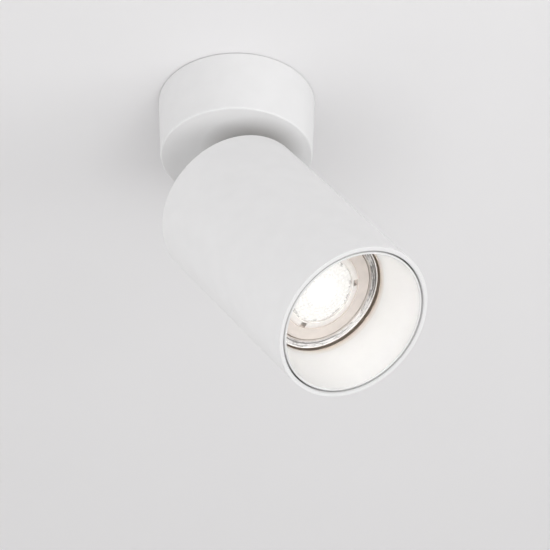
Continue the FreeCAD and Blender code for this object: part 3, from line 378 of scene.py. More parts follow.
def powder_coat(name, colour, paint, shade=None):
    """Sprayed and baked powder: matt, with a fine orange-peel relief and faint mottling."""
    finish = Finish(name, IOR=1.5)
    dust_size, dust_relief = paint.grain / 4, paint.relief / 5
    mottle = finish.rise(finish.grain(9 * MM, detail=3))
    peel = finish.grain(paint.grain, detail=3)
    dust = finish.grain(dust_size)
    coat = finish.blend(mottle, tint(colour, 0.985), tint(colour, 1.01))
    finish.to("Base Color", shade(finish, coat) if shade else coat)
    finish.to("Roughness", finish.spread(dust, paint.roughness - 0.05, paint.roughness + 0.06))
    finish.emboss(peel, paint.relief).emboss(dust, dust_relief)
    return finish.material


def baffle_painted_light_and_shade(lamp):
    """Paints light and shade on the baffle's coat: painted warm light and shade at its throat,
    where the lamp's light leaks past the glass, a faint painted shade line beside it for a fine
    ridge, painted light on its upper side, and painted shade on its lower side and its lip."""
    throat, front, reach = along_head("front_baffle")
    warm_depth, warm_falloff = 3.2 * MM, 1.6
    seam_depth, seam_width, seam_strength = 2.1 * MM, 0.18 * MM, 0.16
    seam_painted_shade_colour, lip_painted_shade_colour = (0.35, 0.28, 0.22), (0.74, 0.74, 0.735)
    upper_painted_light_colour, upper_start, upper_end = (0.90, 0.895, 0.89), -0.2 * reach, -0.95 * reach
    lower_painted_shade_colour, lower_start, lower_end = (0.685, 0.685, 0.68), 0.5 * reach, reach

    def shade(finish, coat):
        """Lays the painted light and shade over the coat, one after another."""
        _, down, _, forward = place_in_head(finish)
        # Painted light: the upper side is painted lighter.
        coat = finish.blend(finish.rise(down, upper_start, upper_end), coat, upper_painted_light_colour)
        # Painted light and shade: the throat is painted warm and darker.
        near = finish.rise(forward, throat + warm_depth, throat)
        coat = finish.blend(
            finish.maths("POWER", near, warm_falloff), coat, lamp.throat_colour)
        # Painted shade: a faint dark line beside the throat stands for a fine ridge.
        off_seam = finish.off(forward, throat + seam_depth)
        seam = finish.spread(off_seam, seam_strength, 0, 0, seam_width)
        coat = finish.blend(seam, coat, seam_painted_shade_colour)
        # Painted shade: the lower side is painted greyer.
        coat = finish.blend(finish.rise(down, lower_start, lower_end), coat, lower_painted_shade_colour)
        # Painted shade: the lip is painted greyer.
        return finish.blend(front_edge(finish, forward, front), coat, lip_painted_shade_colour)

    return shade


def tube_rim_painted_shade(finish, coat):
    """Paints shade on the tube's front edge, darker still on its inner side."""
    outer_painted_shade_colour, inner_painted_shade_colour = (0.75, 0.75, 0.75), (0.60, 0.60, 0.60)
    radius, _, _, forward = place_in_head(finish)
    _, front, outer = along_head("head_tube")
    inner_side = finish.rise(radius, outer - 1.4 * MM, outer - 2 * MM)
    painted_rim_shade = finish.blend(inner_side, outer_painted_shade_colour, inner_painted_shade_colour)
    # Painted shade: the front edge is painted grey, darker on its inner side.
    return finish.blend(front_edge(finish, forward, front), coat, painted_rim_shade)


def underside_painted_shade(finish, coat):
    """Paints shade on the canopy's underside round the place where the head comes nearest to it."""
    painted_shade_colour = (0.47, 0.46, 0.45)
    low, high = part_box("canopy")
    nearest, darkest_shade_radius, unshaded_radius = (0.25 * high.x, 0, low.z), 0.30 * high.x, 0.66 * high.x
    away = finish.node(
        "ShaderNodeVectorMath", {0: finish.place, 1: nearest},
        operation="DISTANCE").outputs["Value"]
    height = finish.node("ShaderNodeSeparateXYZ", {0: finish.place}).outputs[2]
    # Painted shade: only the underside is darkened, most where the head comes nearest.
    under = finish.rise(height, low.z + 0.6 * MM, low.z + 0.2 * MM)
    painted_shade_mask = finish.maths("MULTIPLY", under, finish.rise(away, unshaded_radius, darkest_shade_radius))
    return finish.blend(painted_shade_mask, coat, painted_shade_colour)


def plated_steel(name, colour, brushed=(1, 1, 1)):
    """Zinc plated steel: bright, slightly cloudy, with drawing marks from the press."""
    finish = Finish(name, Metallic=1.0)
    cloud = finish.rise(finish.grain(4 * MM, detail=4, roughness=0.6))
    marks = finish.grain(0.35 * MM, detail=3, roughness=0.6, stretch=brushed)
    warm = (colour[0] * 1.02, colour[1], colour[2] * 0.95)
    finish.to("Base Color", finish.blend(cloud, tint(colour, 0.86), warm))
    finish.to("Roughness", finish.spread(cloud, 0.26, 0.42, 0, 1))
    finish.emboss(marks, 0.008 * MM)
    return finish.material


def turned_brass(name, colour):
    """Turned brass with tool marks and a slight tarnish."""
    finish = Finish(name, Metallic=1.0)
    tarnish = finish.rise(finish.grain(2.5 * MM, detail=4, roughness=0.6))
    marks = finish.grain(0.2 * MM, stretch=(1, 1, 9))
    finish.to("Base Color", finish.blend(tarnish, tint(colour, 0.8), colour))
    finish.to("Roughness", finish.spread(tarnish, 0.24, 0.4, 0, 1))
    finish.emboss(marks, 0.006 * MM)
    return finish.material


def moulded(name, colour, roughness, grain=0.5 * MM, relief=0.01 * MM, **constants):
    """Moulded plastic or rubber: an even colour with a fine sparked grain."""
    finish = Finish(name, **constants)
    flow = finish.rise(finish.grain(5 * MM))
    spark = finish.grain(grain, detail=3, roughness=0.6)
    finish.to("Base Color", finish.blend(flow, tint(colour, 0.96), tint(colour, 1.02)))
    finish.to("Roughness", finish.spread(spark, roughness - 0.06, roughness + 0.08))
    finish.emboss(spark, relief)
    return finish.material


def glazed_ceramic(name, colour):
    """Glazed steatite: cream, with small dark specks under a clear glaze."""
    speck_colour = (0.42, 0.38, 0.32)
    finish = Finish(name, Coat_Weight=0.7, Coat_Roughness=0.08)
    cloud = finish.rise(finish.grain(6 * MM, detail=3))
    specks = finish.rise(finish.grain(0.7 * MM, detail=1), 0.72, 0.76)
    body = finish.blend(cloud, tint(colour, 0.95), colour)
    finish.to("Base Color", finish.blend(specks, body, speck_colour))
    finish.to("Roughness", finish.spread(cloud, 0.3, 0.42, 0, 1))
    finish.emboss(finish.grain(3 * MM), 0.03 * MM)
    return finish.material


def striped_sleeve(name, ground, stripe):
    """The earth lead's sleeve: two colours side by side along the lead."""
    finish = Finish(name)
    bands = finish.node(
        "ShaderNodeTexWave", {"Vector": finish.place, "Scale": 110.0, "Distortion": 0.4},
        bands_direction="DIAGONAL").outputs["Fac"]
    finish.to("Base Color", finish.blend(finish.rise(bands, 0.46, 0.54), ground, stripe))
    finish.to("Roughness", finish.spread(finish.grain(0.6 * MM), 0.4, 0.5))
    finish.emboss(finish.grain(0.4 * MM), 0.01 * MM)
    return finish.material


def spun_cup(name, lamp, inner):
    """Spun aluminium with a warm satin coat, fine turning lines and the lens's light painted as a
    glow at its inner edge.
    """
    colour, line_width, edge_glow = lamp.cup_colour, 0.4 * MM, 0.5
    finish = Finish(name, Metallic=0.15, IOR=1.45)
    radius = place_in_head(finish)[0]
    lines = finish.node(
        "ShaderNodeTexNoise",
        {"W": finish.maths("MULTIPLY", radius, 1 / line_width), "Scale": 1.0, "Detail": 3.0},
        noise_dimensions="1D").outputs["Fac"]
    cloud = finish.rise(finish.grain(5 * MM, detail=3))
    finish.to("Base Color", finish.blend(cloud, tint(colour, 0.95), tint(colour, 1.04)))
    # Painted light: the inner edge glows with the lens's light.
    finish.glow(colour, finish.spread(radius, edge_glow, 0, inner + 0.1 * MM, inner + 0.4 * MM))
    finish.to("Roughness", finish.spread(lines, 0.34, 0.46))
    finish.emboss(lines, 0.012 * MM)
    return finish.material


def pressed_glass(name, lamp):
    """Pressed glass with painted reflections: grey and streaked, painted light below and darker
    above, with a painted dark refraction line along its rim and a painted highlight on its bead.
    """
    finish = Finish(name, Transmission_Weight=0.2, Coat_Weight=1.0, Coat_Roughness=0.04,
                    Coat_IOR=1.5, IOR=1.5)
    radius, down, sideways, forward = place_in_head(finish)
    _, front, outer = along_head("lamp_glass")
    angle = finish.maths("ARCTAN2", sideways, down)

    def swept(turns, width, detail, depth=4 * MM):
        """Noise drawn out round the rim: so many spots to a radian, each so wide and deep."""
        place = finish.node(
            "ShaderNodeCombineXYZ",
            {0: finish.maths("MULTIPLY", angle, turns),
             1: finish.maths("MULTIPLY", radius, 1 / width),
             2: finish.maths("MULTIPLY", forward, 1 / depth)}).outputs[0]
        return finish.node(
            "ShaderNodeTexNoise",
            {"Vector": place, "Scale": 1.0, "Detail": detail, "Roughness": 0.6}).outputs["Fac"]

    # Painted reflections: streaks run round the rim, painted light below and darker above, with a
    # ragged border.
    # The same streaks also vary the roughness and relief.
    streaks = swept(turns=7.0, width=0.45 * MM, detail=3.0)
    patches = swept(turns=1.3, width=4 * MM, detail=2.0)
    dark, white, pale = tint(lamp.glass_colour, 0.58), (1.0, 1.0, 1.0), (0.80, 0.80, 0.80)
    clear = finish.blend(finish.rise(streaks, 0.38, 0.47), dark, white)
    upper_painted_reflection = finish.blend(finish.rise(streaks, 0.42, 0.60), tint(dark, 0.5), pale)
    ragged = finish.maths("ADD", down, finish.spread(patches, -4 * MM, 4 * MM))
    face = finish.blend(finish.rise(ragged, -5 * MM, -16 * MM), clear, upper_painted_reflection)

    # The cup's colour is painted beside the rim's inner edge, where the cup would show through the
    # glass.
    painted_cup_through_glass = finish.spread(radius, 0.85, 0, outer - 2.8 * MM, outer - 2.1 * MM)
    face = finish.blend(painted_cup_through_glass, face, tint(lamp.cup_colour, 0.88))

    # Painted refraction: a dark line wanders inward from the rim's upper side to its lower side.
    wander = finish.spread(ragged, outer - 0.45 * MM, outer - 1.9 * MM, -10 * MM, 12 * MM)
    painted_dark_refraction_line = finish.maths(
        "MULTIPLY", finish.rise(finish.off(radius, wander), 0.36 * MM, 0.1 * MM),
        finish.spread(finish.maths("ABSOLUTE", ragged), 0.15, 0.9, 6 * MM, 15 * MM))
    face = finish.blend(painted_dark_refraction_line, face, tint(lamp.glass_colour, 0.16))

    # Painted highlight: the bead is painted white, and glows with painted light from the lens.
    bead_painted_highlight_colour, bead_painted_glow = (0.93, 0.92, 0.90), 0.3
    bead = finish.rise(radius, outer - 0.25 * MM, outer - 0.1 * MM)
    bead_painted_light = finish.spread(radius, 0, bead_painted_glow, outer - 0.35 * MM, outer - 0.15 * MM)
    finish.to("Base Color", finish.blend(bead, face, bead_painted_highlight_colour))
    finish.to("Roughness", finish.spread(streaks, 0.06, 0.2))
    finish.emboss(streaks, 0.05 * MM)

    # Behind the rim, the lamp's light spills out through the bowl.
    ahead = finish.rise(forward, front - 2.2 * MM, front - 1.2 * MM)
    spilt = finish.maths("MULTIPLY", finish.maths("SUBTRACT", 1.0, ahead), lamp.spill)
    finish.to("Emission Color", finish.blend(ahead, lamp.spill_colour, lamp.glow_colour))
    finish.to("Emission Strength",
              finish.maths("ADD", finish.maths("MULTIPLY", bead_painted_light, ahead), spilt))
    return finish.material


def glowing_ring(name, lamp, inner):
    """White moulded ring with the lens's light painted on it, most of all beside the lens, and
    painted shade in its notches.
    """
    notch_painted_shade_colour, notch_painted_shade = (0.36, 0.335, 0.31), 0.6
    soak_glow, edge_glow = 0.05, 0.32
    finish = Finish(name, IOR=1.5)
    radius, _, _, forward = place_in_head(finish)
    _, front, outer = along_head("lamp_lens_ring")

    # Painted shade: the notches, the hollows between the ring's inner and outer edges, are painted
    # darker the deeper they lie.
    between = finish.maths("MULTIPLY", finish.rise(radius, inner + 0.6 * MM, inner + 0.8 * MM),
                           finish.rise(radius, outer - 0.2 * MM, outer - 0.4 * MM))
    sunk_painted_shade = finish.spread(forward, notch_painted_shade, 0, front - 0.9 * MM, front - 0.3 * MM)
    notch_painted_shade_mask = finish.maths("MULTIPLY", sunk_painted_shade, between)

    flow = finish.rise(finish.grain(2 * MM))
    white = finish.blend(flow, tint(lamp.ring_colour, 0.95), tint(lamp.ring_colour, 1.03))
    # Painted light: the ring is painted whiter beside the lens, turning to the cup's colour
    # outward.
    painted_lens_light = finish.blend(
        finish.rise(radius, inner + 1.8 * MM, outer), white, lamp.cup_colour)
    finish.to("Base Color", finish.blend(notch_painted_shade_mask, painted_lens_light, notch_painted_shade_colour))
    finish.to("Roughness", finish.spread(finish.grain(0.3 * MM), 0.28, 0.4))
    finish.emboss(finish.grain(0.4 * MM), 0.01 * MM)

    # Painted light: the ring glows with the lens's light, most beside the lens, and not in the
    # notches.
    soaked = finish.spread(radius, soak_glow, 0, inner, outer)
    edge = finish.spread(radius, edge_glow, 0, inner + 0.2 * MM, inner + 0.4 * MM)
    patchy = finish.rise(finish.grain(4 * MM, roughness=0.6), 0.56, 0.46)
    lit = finish.maths("ADD", soaked, finish.maths("MULTIPLY", edge, patchy))
    finish.glow(lamp.glow_colour,
                finish.maths("MULTIPLY", lit, finish.maths("SUBTRACT", 1.0, notch_painted_shade_mask)))
    return finish.material


def glowing_lens(name, lamp, reach):
    """The lit lens: clear moulded domes that glow, most of all in the middle."""
    core, core_border = 0.28 * reach, 0.42 * reach
    dull, clear, gap_shadow_colour = (0.50, 0.495, 0.48), (0.62, 0.615, 0.60), (0.16, 0.155, 0.15)
    finish = Finish(name, Coat_Weight=0.4, Coat_Roughness=0.06, IOR=1.49)
    radius = place_in_head(finish)[0]
    fade = finish.node(
        "ShaderNodeMapRange",
        {"Value": radius, "From Min": core, "From Max": core_border,
         "To Min": lamp.glow_middle, "To Max": lamp.glow_edge},
        interpolation_type="SMOOTHSTEP").outputs["Result"]
    dome = finish.node("ShaderNodeAttribute", attribute_name="dome").outputs["Fac"]
    glint = finish.spread(finish.grain(0.6 * MM, detail=3, roughness=0.6), 0.96, 1.04)
    lit = finish.maths("MULTIPLY", finish.spread(dome, 0.93, 1.05, 0, 1), glint)
    finish.glow(lamp.glow_colour, finish.maths("MULTIPLY", fade, lit))

    # Painted shadow: a few dark dashes round the edge stand for the shadow in the gap where the
    # lens sits in its ring.
    cloudy = finish.blend(finish.rise(finish.grain(1.2 * MM, detail=3)), dull, clear)
    seat = finish.rise(radius, reach - 1.4 * MM, reach - 0.8 * MM)
    painted_gap_shadow = finish.maths(
        "MULTIPLY", seat, finish.rise(finish.grain(3.2 * MM, roughness=0.6), 0.5, 0.6))
    finish.to("Base Color", finish.blend(painted_gap_shadow, cloudy, gap_shadow_colour))
    finish.to("Roughness", finish.spread(finish.grain(0.8 * MM), 0.10, 0.25))
    return finish.material


def lit_phosphor(name, colour, lamp):
    """The light source's yellow phosphor under its silicone."""
    finish = Finish(name, roughness=0.3, Emission_Strength=1.5,
                    Emission_Color=(*lamp.glow_colour, 1))
    cells = finish.rise(finish.grain(0.4 * MM))
    finish.to("Base Color", finish.blend(cells, tint(colour, 0.9), colour))
    return finish.material


def room_surface(name, colour, grain, one_sided=False):
    """Flat paint on plaster. One-sided paint lets a view from behind see the object."""
    finish = Finish(name, roughness=0.9)
    cloud = finish.rise(finish.grain(grain))
    finish.to("Base Color", finish.blend(cloud, tint(colour, 0.995), tint(colour, 1.005)))
    if one_sided:
        behind = finish.node("ShaderNodeNewGeometry").outputs["Backfacing"]
        clear = finish.node("ShaderNodeBsdfTransparent").outputs[0]
        choice = finish.node(
            "ShaderNodeMixShader", {0: behind, 1: finish.shader.outputs[0], 2: clear})
        finish.links.new(choice.outputs[0], finish.nodes["Material Output"].inputs["Surface"])
    return finish.material


def dress(material, *nodes):
    """Gives a material to CAD nodes."""
    for name in nodes:
        slots = frame["nodes"][name].data.materials
        slots.clear()
        slots.append(material)


# Geometry helpers.


def add_mesh(name, build):
    """Makes a mesh object from what build adds to an empty bmesh."""
    mesh = bpy.data.meshes.new(name)
    shape = bmesh.new()
    build(shape)
    bmesh.ops.recalc_face_normals(shape, faces=shape.faces)
    shape.to_mesh(mesh)
    shape.free()
    made = bpy.data.objects.new(name, mesh)
    bpy.context.scene.collection.objects.link(made)
    return made


def dome_at(x, y, pitch):
    """How high a point is on the nearest small dome. Each ring has six more than the last."""
    domes_added, dome_radius = 6, 0.56 * pitch
    radius, turn = math.hypot(x, y), math.atan2(y, x)
    best = 1.0
    for ring in {round(radius / pitch), int(radius / pitch), int(radius / pitch) + 1}:
        count = max(1, domes_added * ring)
        shift = 0.5 * (ring % 2)
        nearest = (round(turn * count / math.tau - shift) + shift) * math.tau / count
        gap = math.hypot(x - ring * pitch * math.cos(nearest), y - ring * pitch * math.sin(nearest))
        best = min(best, gap / dome_radius)
    return max(0.0, 1 - best * best)


def lens_point(x, y, edge, crown, reach, lamp):
    """Depth of the lens's front along the head at a point, and how high it is on its dome."""
    plain_border = 0.05
    part = math.hypot(x, y) / reach
    crowned = edge + (crown - edge) * (1 - part * part)
    dome = dome_at(x, y, lamp.prism_pitch) * min(1.0, max(0.0, (1 - part) / plain_border))
    return crowned + dome * lamp.prism_height, dome


def sweep_profile(shape, profile, steps, lift=None):
    """Turns a closed profile of (radius, depth) about the head's axis."""
    rings = []
    for index, (radius, depth) in enumerate(profile):
        ring = []
        for step in range(steps):
            turn = math.tau * step / steps
            raised = depth + (lift(index, radius, turn) if lift else 0.0)
            ring.append(shape.verts.new(HEAD @ Vector(
                (radius * math.cos(turn), radius * math.sin(turn), raised))))
        rings.append(ring)
    for here, there in zip(rings, rings[1:] + rings[:1]):
        for step in range(steps):
            beside = (step + 1) % steps
            face = shape.faces.new((here[step], there[step], there[beside], here[beside]))
            face.smooth = True


def bow(first, last, radius, count):
    """Points on the arc from one (radius, depth) to another, bulging outward."""
    start, end = Vector(first), Vector(last)
    half = (end - start).length / 2
    inward = Vector((-(end - start).y, (end - start).x)).normalized()
    middle = (start + end) / 2 + inward * math.sqrt(radius * radius - half * half)
    spoke = start - middle
    swing = spoke.angle_signed(end - middle)
    return [tuple(middle + Matrix.Rotation(-swing * step / count, 2) @ spoke)
            for step in range(count + 1)]


# Operators: one for each piece or group of like pieces, then the stage, its light and the camera.


class SPOTLIGHT_OT_shell(bpy.types.Operator):
    """Powder coat the canopy, its side screws, the stem and the head"""

    bl_idname = "spotlight.shell"
    bl_label = "Shell"

    def execute(self, context):
        paint = context.scene.spotlight_paint
        dress(powder_coat("canopy_paint", paint.colour, paint, underside_painted_shade), "canopy")
        dress(powder_coat("tube_paint", paint.colour, paint, tube_rim_painted_shade), "head_tube")
        dress(powder_coat("white_paint", paint.colour, paint),
              "canopy_screws", "swivel_stem", "head_cap")
        return {"FINISHED"}


class SPOTLIGHT_OT_baffle(bpy.types.Operator):
    """Powder coat the front ring and cone"""

    bl_idname = "spotlight.baffle"
    bl_label = "Baffle"

    def execute(self, context):
        paint = context.scene.spotlight_paint
        shade = baffle_painted_light_and_shade(context.scene.spotlight_lamp)
        dress(powder_coat("baffle_paint", paint.baffle_colour, paint, shade), "front_baffle")
        dress(plated_steel("spring_steel", (0.66, 0.67, 0.69), brushed=(1, 6, 1)),
              "baffle_springs")
        return {"FINISHED"}


class SPOTLIGHT_OT_ceiling_hardware(bpy.types.Operator):
    """Finish the ceiling bracket, its bushing and its fixings"""

    bl_idname = "spotlight.ceiling_hardware"
    bl_label = "Ceiling hardware"

    def execute(self, context):
        dress(plated_steel("bracket_zinc", (0.70, 0.71, 0.73), brushed=(8, 1, 1)),
              "ceiling_bracket")
        dress(moulded("bushing_rubber", (0.045, 0.045, 0.047), roughness=0.62,
                      relief=0.02 * MM), "cable_bushing")
        dress(turned_brass("earth_brass", (0.78, 0.60, 0.30)), "earth_screw", "earth_tag")
        return {"FINISHED"}


class SPOTLIGHT_OT_terminals(bpy.types.Operator):
    """Finish the terminal block, its inserts and its screws"""

    bl_idname = "spotlight.terminals"
    bl_label = "Terminals"

    def execute(self, context):
        dress(moulded("block_plastic", (0.82, 0.82, 0.78), roughness=0.42, IOR=1.53),
              "terminal_block")
        dress(turned_brass("insert_brass", (0.80, 0.64, 0.34)), "terminal_inserts")
        dress(plated_steel("terminal_zinc", (0.72, 0.72, 0.73)),
              "terminal_screws", "terminal_block_screws")
        return {"FINISHED"}


class SPOTLIGHT_OT_leads(bpy.types.Operator):
    """Finish the silicone leads and the striped earth lead"""

    bl_idname = "spotlight.leads"
    bl_label = "Leads"

    def execute(self, context):
        dress(moulded("lead_silicone", (0.80, 0.79, 0.74), roughness=0.48, grain=0.3 * MM),
              "canopy_leads", "stem_leads", "head_leads")
        dress(striped_sleeve("earth_sleeve", (0.10, 0.36, 0.07), (0.80, 0.70, 0.06)),
              "earth_lead")
        return {"FINISHED"}


class SPOTLIGHT_OT_swivel(bpy.types.Operator):
    """Finish what holds the stem in the canopy and lets it turn"""

    bl_idname = "spotlight.swivel"
    bl_label = "Swivel"

    def execute(self, context):
        dress(plated_steel("swivel_zinc", (0.71, 0.71, 0.72)),
              "stop_pin", "wave_washer", "stop_ring", "stem_nut")
        dress(moulded("washer_nylon", (0.80, 0.80, 0.76), roughness=0.4,
                      Subsurface_Weight=0.1, Subsurface_Scale=0.5 * MM), "pan_washer")
        return {"FINISHED"}


class SPOTLIGHT_OT_knuckle(bpy.types.Operator):
    """Finish the tilting knuckle in the head's back"""

    bl_idname = "spotlight.knuckle"
    bl_label = "Knuckle"

    def execute(self, context):
        dress(plated_steel("knuckle_zinc", (0.69, 0.70, 0.72), brushed=(1, 1, 7)), "tilt_bracket")
        dress(plated_steel("screw_zinc", (0.73, 0.73, 0.74)),
              "tilt_screw", "tilt_nut", "tilt_bracket_screws")
        dress(moulded("friction_nylon", (0.78, 0.78, 0.75), roughness=0.45), "tilt_washers")
        return {"FINISHED"}


class SPOTLIGHT_OT_lampholder(bpy.types.Operator):
    """Finish the lampholder, its contacts and its bridge"""

    bl_idname = "spotlight.lampholder"
    bl_label = "Lampholder"

    def execute(self, context):
        dress(glazed_ceramic("holder_ceramic", (0.86, 0.83, 0.76)), "lampholder")
        dress(plated_steel("bridge_zinc", (0.70, 0.70, 0.71), brushed=(1, 8, 1)),
              "lampholder_bridge")
        dress(plated_steel("holder_zinc", (0.74, 0.74, 0.75)),
              "lampholder_screws", "bridge_screws", "lampholder_contacts")
        return {"FINISHED"}


class SPOTLIGHT_OT_lamp_body(bpy.types.Operator):
    """Finish the lamp's foot, pins, cup, lens ring and light source"""

    bl_idname = "spotlight.lamp_body"
    bl_label = "Lamp body"

    def execute(self, context):
        lamp = context.scene.spotlight_lamp
        dress(moulded("foot_plastic", (0.84, 0.83, 0.80), roughness=0.3, IOR=1.55), "lamp_base")
        inner, outer = along_head("lamp_lens")[2], along_head("lamp_lens_ring")[2]
        dress(glowing_ring("ring_plastic", lamp, inner), "lamp_lens_ring")
        dress(plated_steel("pin_nickel", (0.72, 0.70, 0.66)), "lamp_pins")
        dress(spun_cup("cup_satin", lamp, outer), "lamp_cup")
        dress(moulded("board_mask", (0.82, 0.82, 0.80), roughness=0.4), "lamp_board")
        dress(lit_phosphor("chip_phosphor", (0.88, 0.72, 0.22), lamp), "lamp_chips")
        return {"FINISHED"}


class SPOTLIGHT_OT_lamp_glass(bpy.types.Operator):
    """Model the lamp's glass bowl, with a beaded, ridged and rippled rim"""

    bl_idname = "spotlight.lamp_glass"
    bl_label = "Lamp glass"

    # How finely the turn and each part of the profile are divided.
    steps, bead_steps, ridge_steps, bow_steps = 360, 8, 6, 24
    # The rim: its bead's width in the bead's own radii, then its ridges and its ripples.
    bead_span, ridges, ridge_roundness = 2.3, 3, 0.7
    ripples, ripple_width = 9, 0.8 * MM
    # The bowl: its bowed wall, the straight wall behind the rim, and its foot.
    bow_radius, straight = 58 * MM, 4.9 * MM
    foot_radius, foot_height = 15 * MM, 2 * MM

    def execute(self, context):
        lamp = context.scene.spotlight_lamp
        back, front, radius = along_head("lamp_glass")
        bend = front - self.straight
        radius += lamp.rim_flare
        bead, wall, inner = lamp.bead, lamp.glass_wall, radius - lamp.rim_width
        outside = bow((self.foot_radius, back), (radius, bend), self.bow_radius, self.bow_steps)
        over = []
        for step in range(self.bead_steps + 1):
            turn = math.pi * step / self.bead_steps
            over.append((radius - bead + bead * math.cos(turn),
                         front - bead + bead * math.sin(turn)))
        start = radius - self.bead_span * bead
        wide = (start - inner) / self.ridges
        face = []
        for step in range(self.ridges * self.ridge_steps + 1):
            along = step / self.ridge_steps
            swell = math.sin(math.pi * (along % 1.0)) ** self.ridge_roundness
            face.append((start - wide * along, front - bead - lamp.ridge * (1 + along / 2 - swell)))
        inside = bow((self.foot_radius - wall, back + self.foot_height),
                     (radius - wall, bend - wall), self.bow_radius - wall, self.bow_steps)
        profile = (outside + over + face + [(inner, front - 2 * wall)] + inside[::-1]
                   + [(self.foot_radius - wall, back)])
        first = len(outside + over) + 1
        rippled = range(first, first + len(face) - 2)

        def lift(index, distance, turn):
            """Ripples the rim's front, and leaves the rest of the bowl smooth."""
            if index not in rippled:
                return 0.0
            spot = Vector((math.cos(turn) * self.ripples, math.sin(turn) * self.ripples,
                           distance / self.ripple_width))
            return lamp.ripple * noise.noise(spot)

        bowl = add_mesh("glass_bowl", lambda shape: sweep_profile(shape, profile, self.steps, lift))
        bowl.data.materials.append(pressed_glass("bowl_glass", lamp))
        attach(bowl, "lamp_body")
        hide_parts("lamp_glass")
        return {"FINISHED"}


class SPOTLIGHT_OT_lens(bpy.types.Operator):
    """Model the lit lens with its rings of small domes"""

    bl_idname = "spotlight.lens"
    bl_label = "Lens"

    rings = 64
    spokes = 216

    def execute(self, context):
        lamp = context.scene.spotlight_lamp
        back, crown, reach = along_head("lamp_lens")
        crown -= lamp.prism_height
        edge = crown - lamp.lens_sag
        heights = []

        def lens_loop(shape, radius, depth=None):
            """One ring of points, on the domed front or else at a depth."""
            loop = []
            for spoke in range(self.spokes):
                turn = math.tau * spoke / self.spokes
                x, y = radius * math.cos(turn), radius * math.sin(turn)
                front, dome = lens_point(x, y, edge, crown, reach, lamp)
                place = Vector((x, y, front if depth is None else depth))
                loop.append(shape.verts.new(HEAD @ place))
                heights.append(dome)
            return loop

        def build(shape):
            front, dome = lens_point(0, 0, edge, crown, reach, lamp)
            middle = shape.verts.new(HEAD @ Vector((0, 0, front)))
            heights.append(dome)
            loops = [lens_loop(shape, reach * ring / self.rings)
                     for ring in range(1, self.rings + 1)]
            loops.append(lens_loop(shape, reach, back))
            for spoke in range(self.spokes):
                beside = (spoke + 1) % self.spokes
                shape.faces.new((middle, loops[0][spoke], loops[0][beside]))
                for inner, outer in zip(loops, loops[1:]):
                    shape.faces.new((inner[spoke], outer[spoke], outer[beside], inner[beside]))
            for face in shape.faces:
                face.smooth = True
            shape.faces.new(loops[-1])

        lens = add_mesh("lens_optics", build)
        lens.data.attributes.new("dome", "FLOAT", "POINT").data.foreach_set("value", heights)
        lens.data.materials.append(glowing_lens("lens_glow", lamp, reach))
        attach(lens, "lamp_body")
        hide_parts("lamp_lens")
        return {"FINISHED"}


class SPOTLIGHT_OT_stage(bpy.types.Operator):
    """Hang the light from a pale ceiling over a pale floor"""

    bl_idname = "spotlight.stage"
    bl_label = "Stage"

    sides = 192
    floor_spread = 4

    def execute(self, context):
        studio = context.scene.spotlight_studio
        half = studio.ceiling_side / 2
        low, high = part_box("canopy")
        opening = (high.x - low.x) / 2 - studio.ceiling_cover

        def ceiling_shape(shape):
            height = studio.ceiling_gap
            turns = [math.tau * side / self.sides for side in range(self.sides)]
            inner, outer = [
                [shape.verts.new((reach * math.cos(turn), reach * math.sin(turn), height))
                 for turn in turns]
                for reach in (opening, half)]
            for side in range(self.sides):
                beside = (side + 1) % self.sides
                shape.faces.new((inner[side], inner[beside], outer[beside], outer[side]))

        def floor_shape(shape):
            far = half * self.floor_spread
            shape.faces.new([
                shape.verts.new((x * far, y * far, -studio.floor_drop))
                for x, y in ((-1, -1), (1, -1), (1, 1), (-1, 1))])

        ceiling = add_mesh("stage_ceiling", ceiling_shape)
        floor = add_mesh("stage_floor", floor_shape)
        for piece, wanted in ((ceiling, -1), (floor, 1)):
            if piece.data.polygons[0].normal.z * wanted < 0:
                piece.data.flip_normals()
        ceiling.data.materials.append(
            room_surface("ceiling_paint", studio.ceiling_colour, 80 * MM, one_sided=True))
        floor.data.materials.append(room_surface("floor_paint", studio.floor_colour, 300 * MM))
        return {"FINISHED"}


def heading(azimuth, elevation):
    """The direction at an azimuth, counted from the front towards the right, and an elevation."""
    level = math.cos(elevation)
    return Vector((math.sin(azimuth) * level, -math.cos(azimuth) * level, math.sin(elevation)))


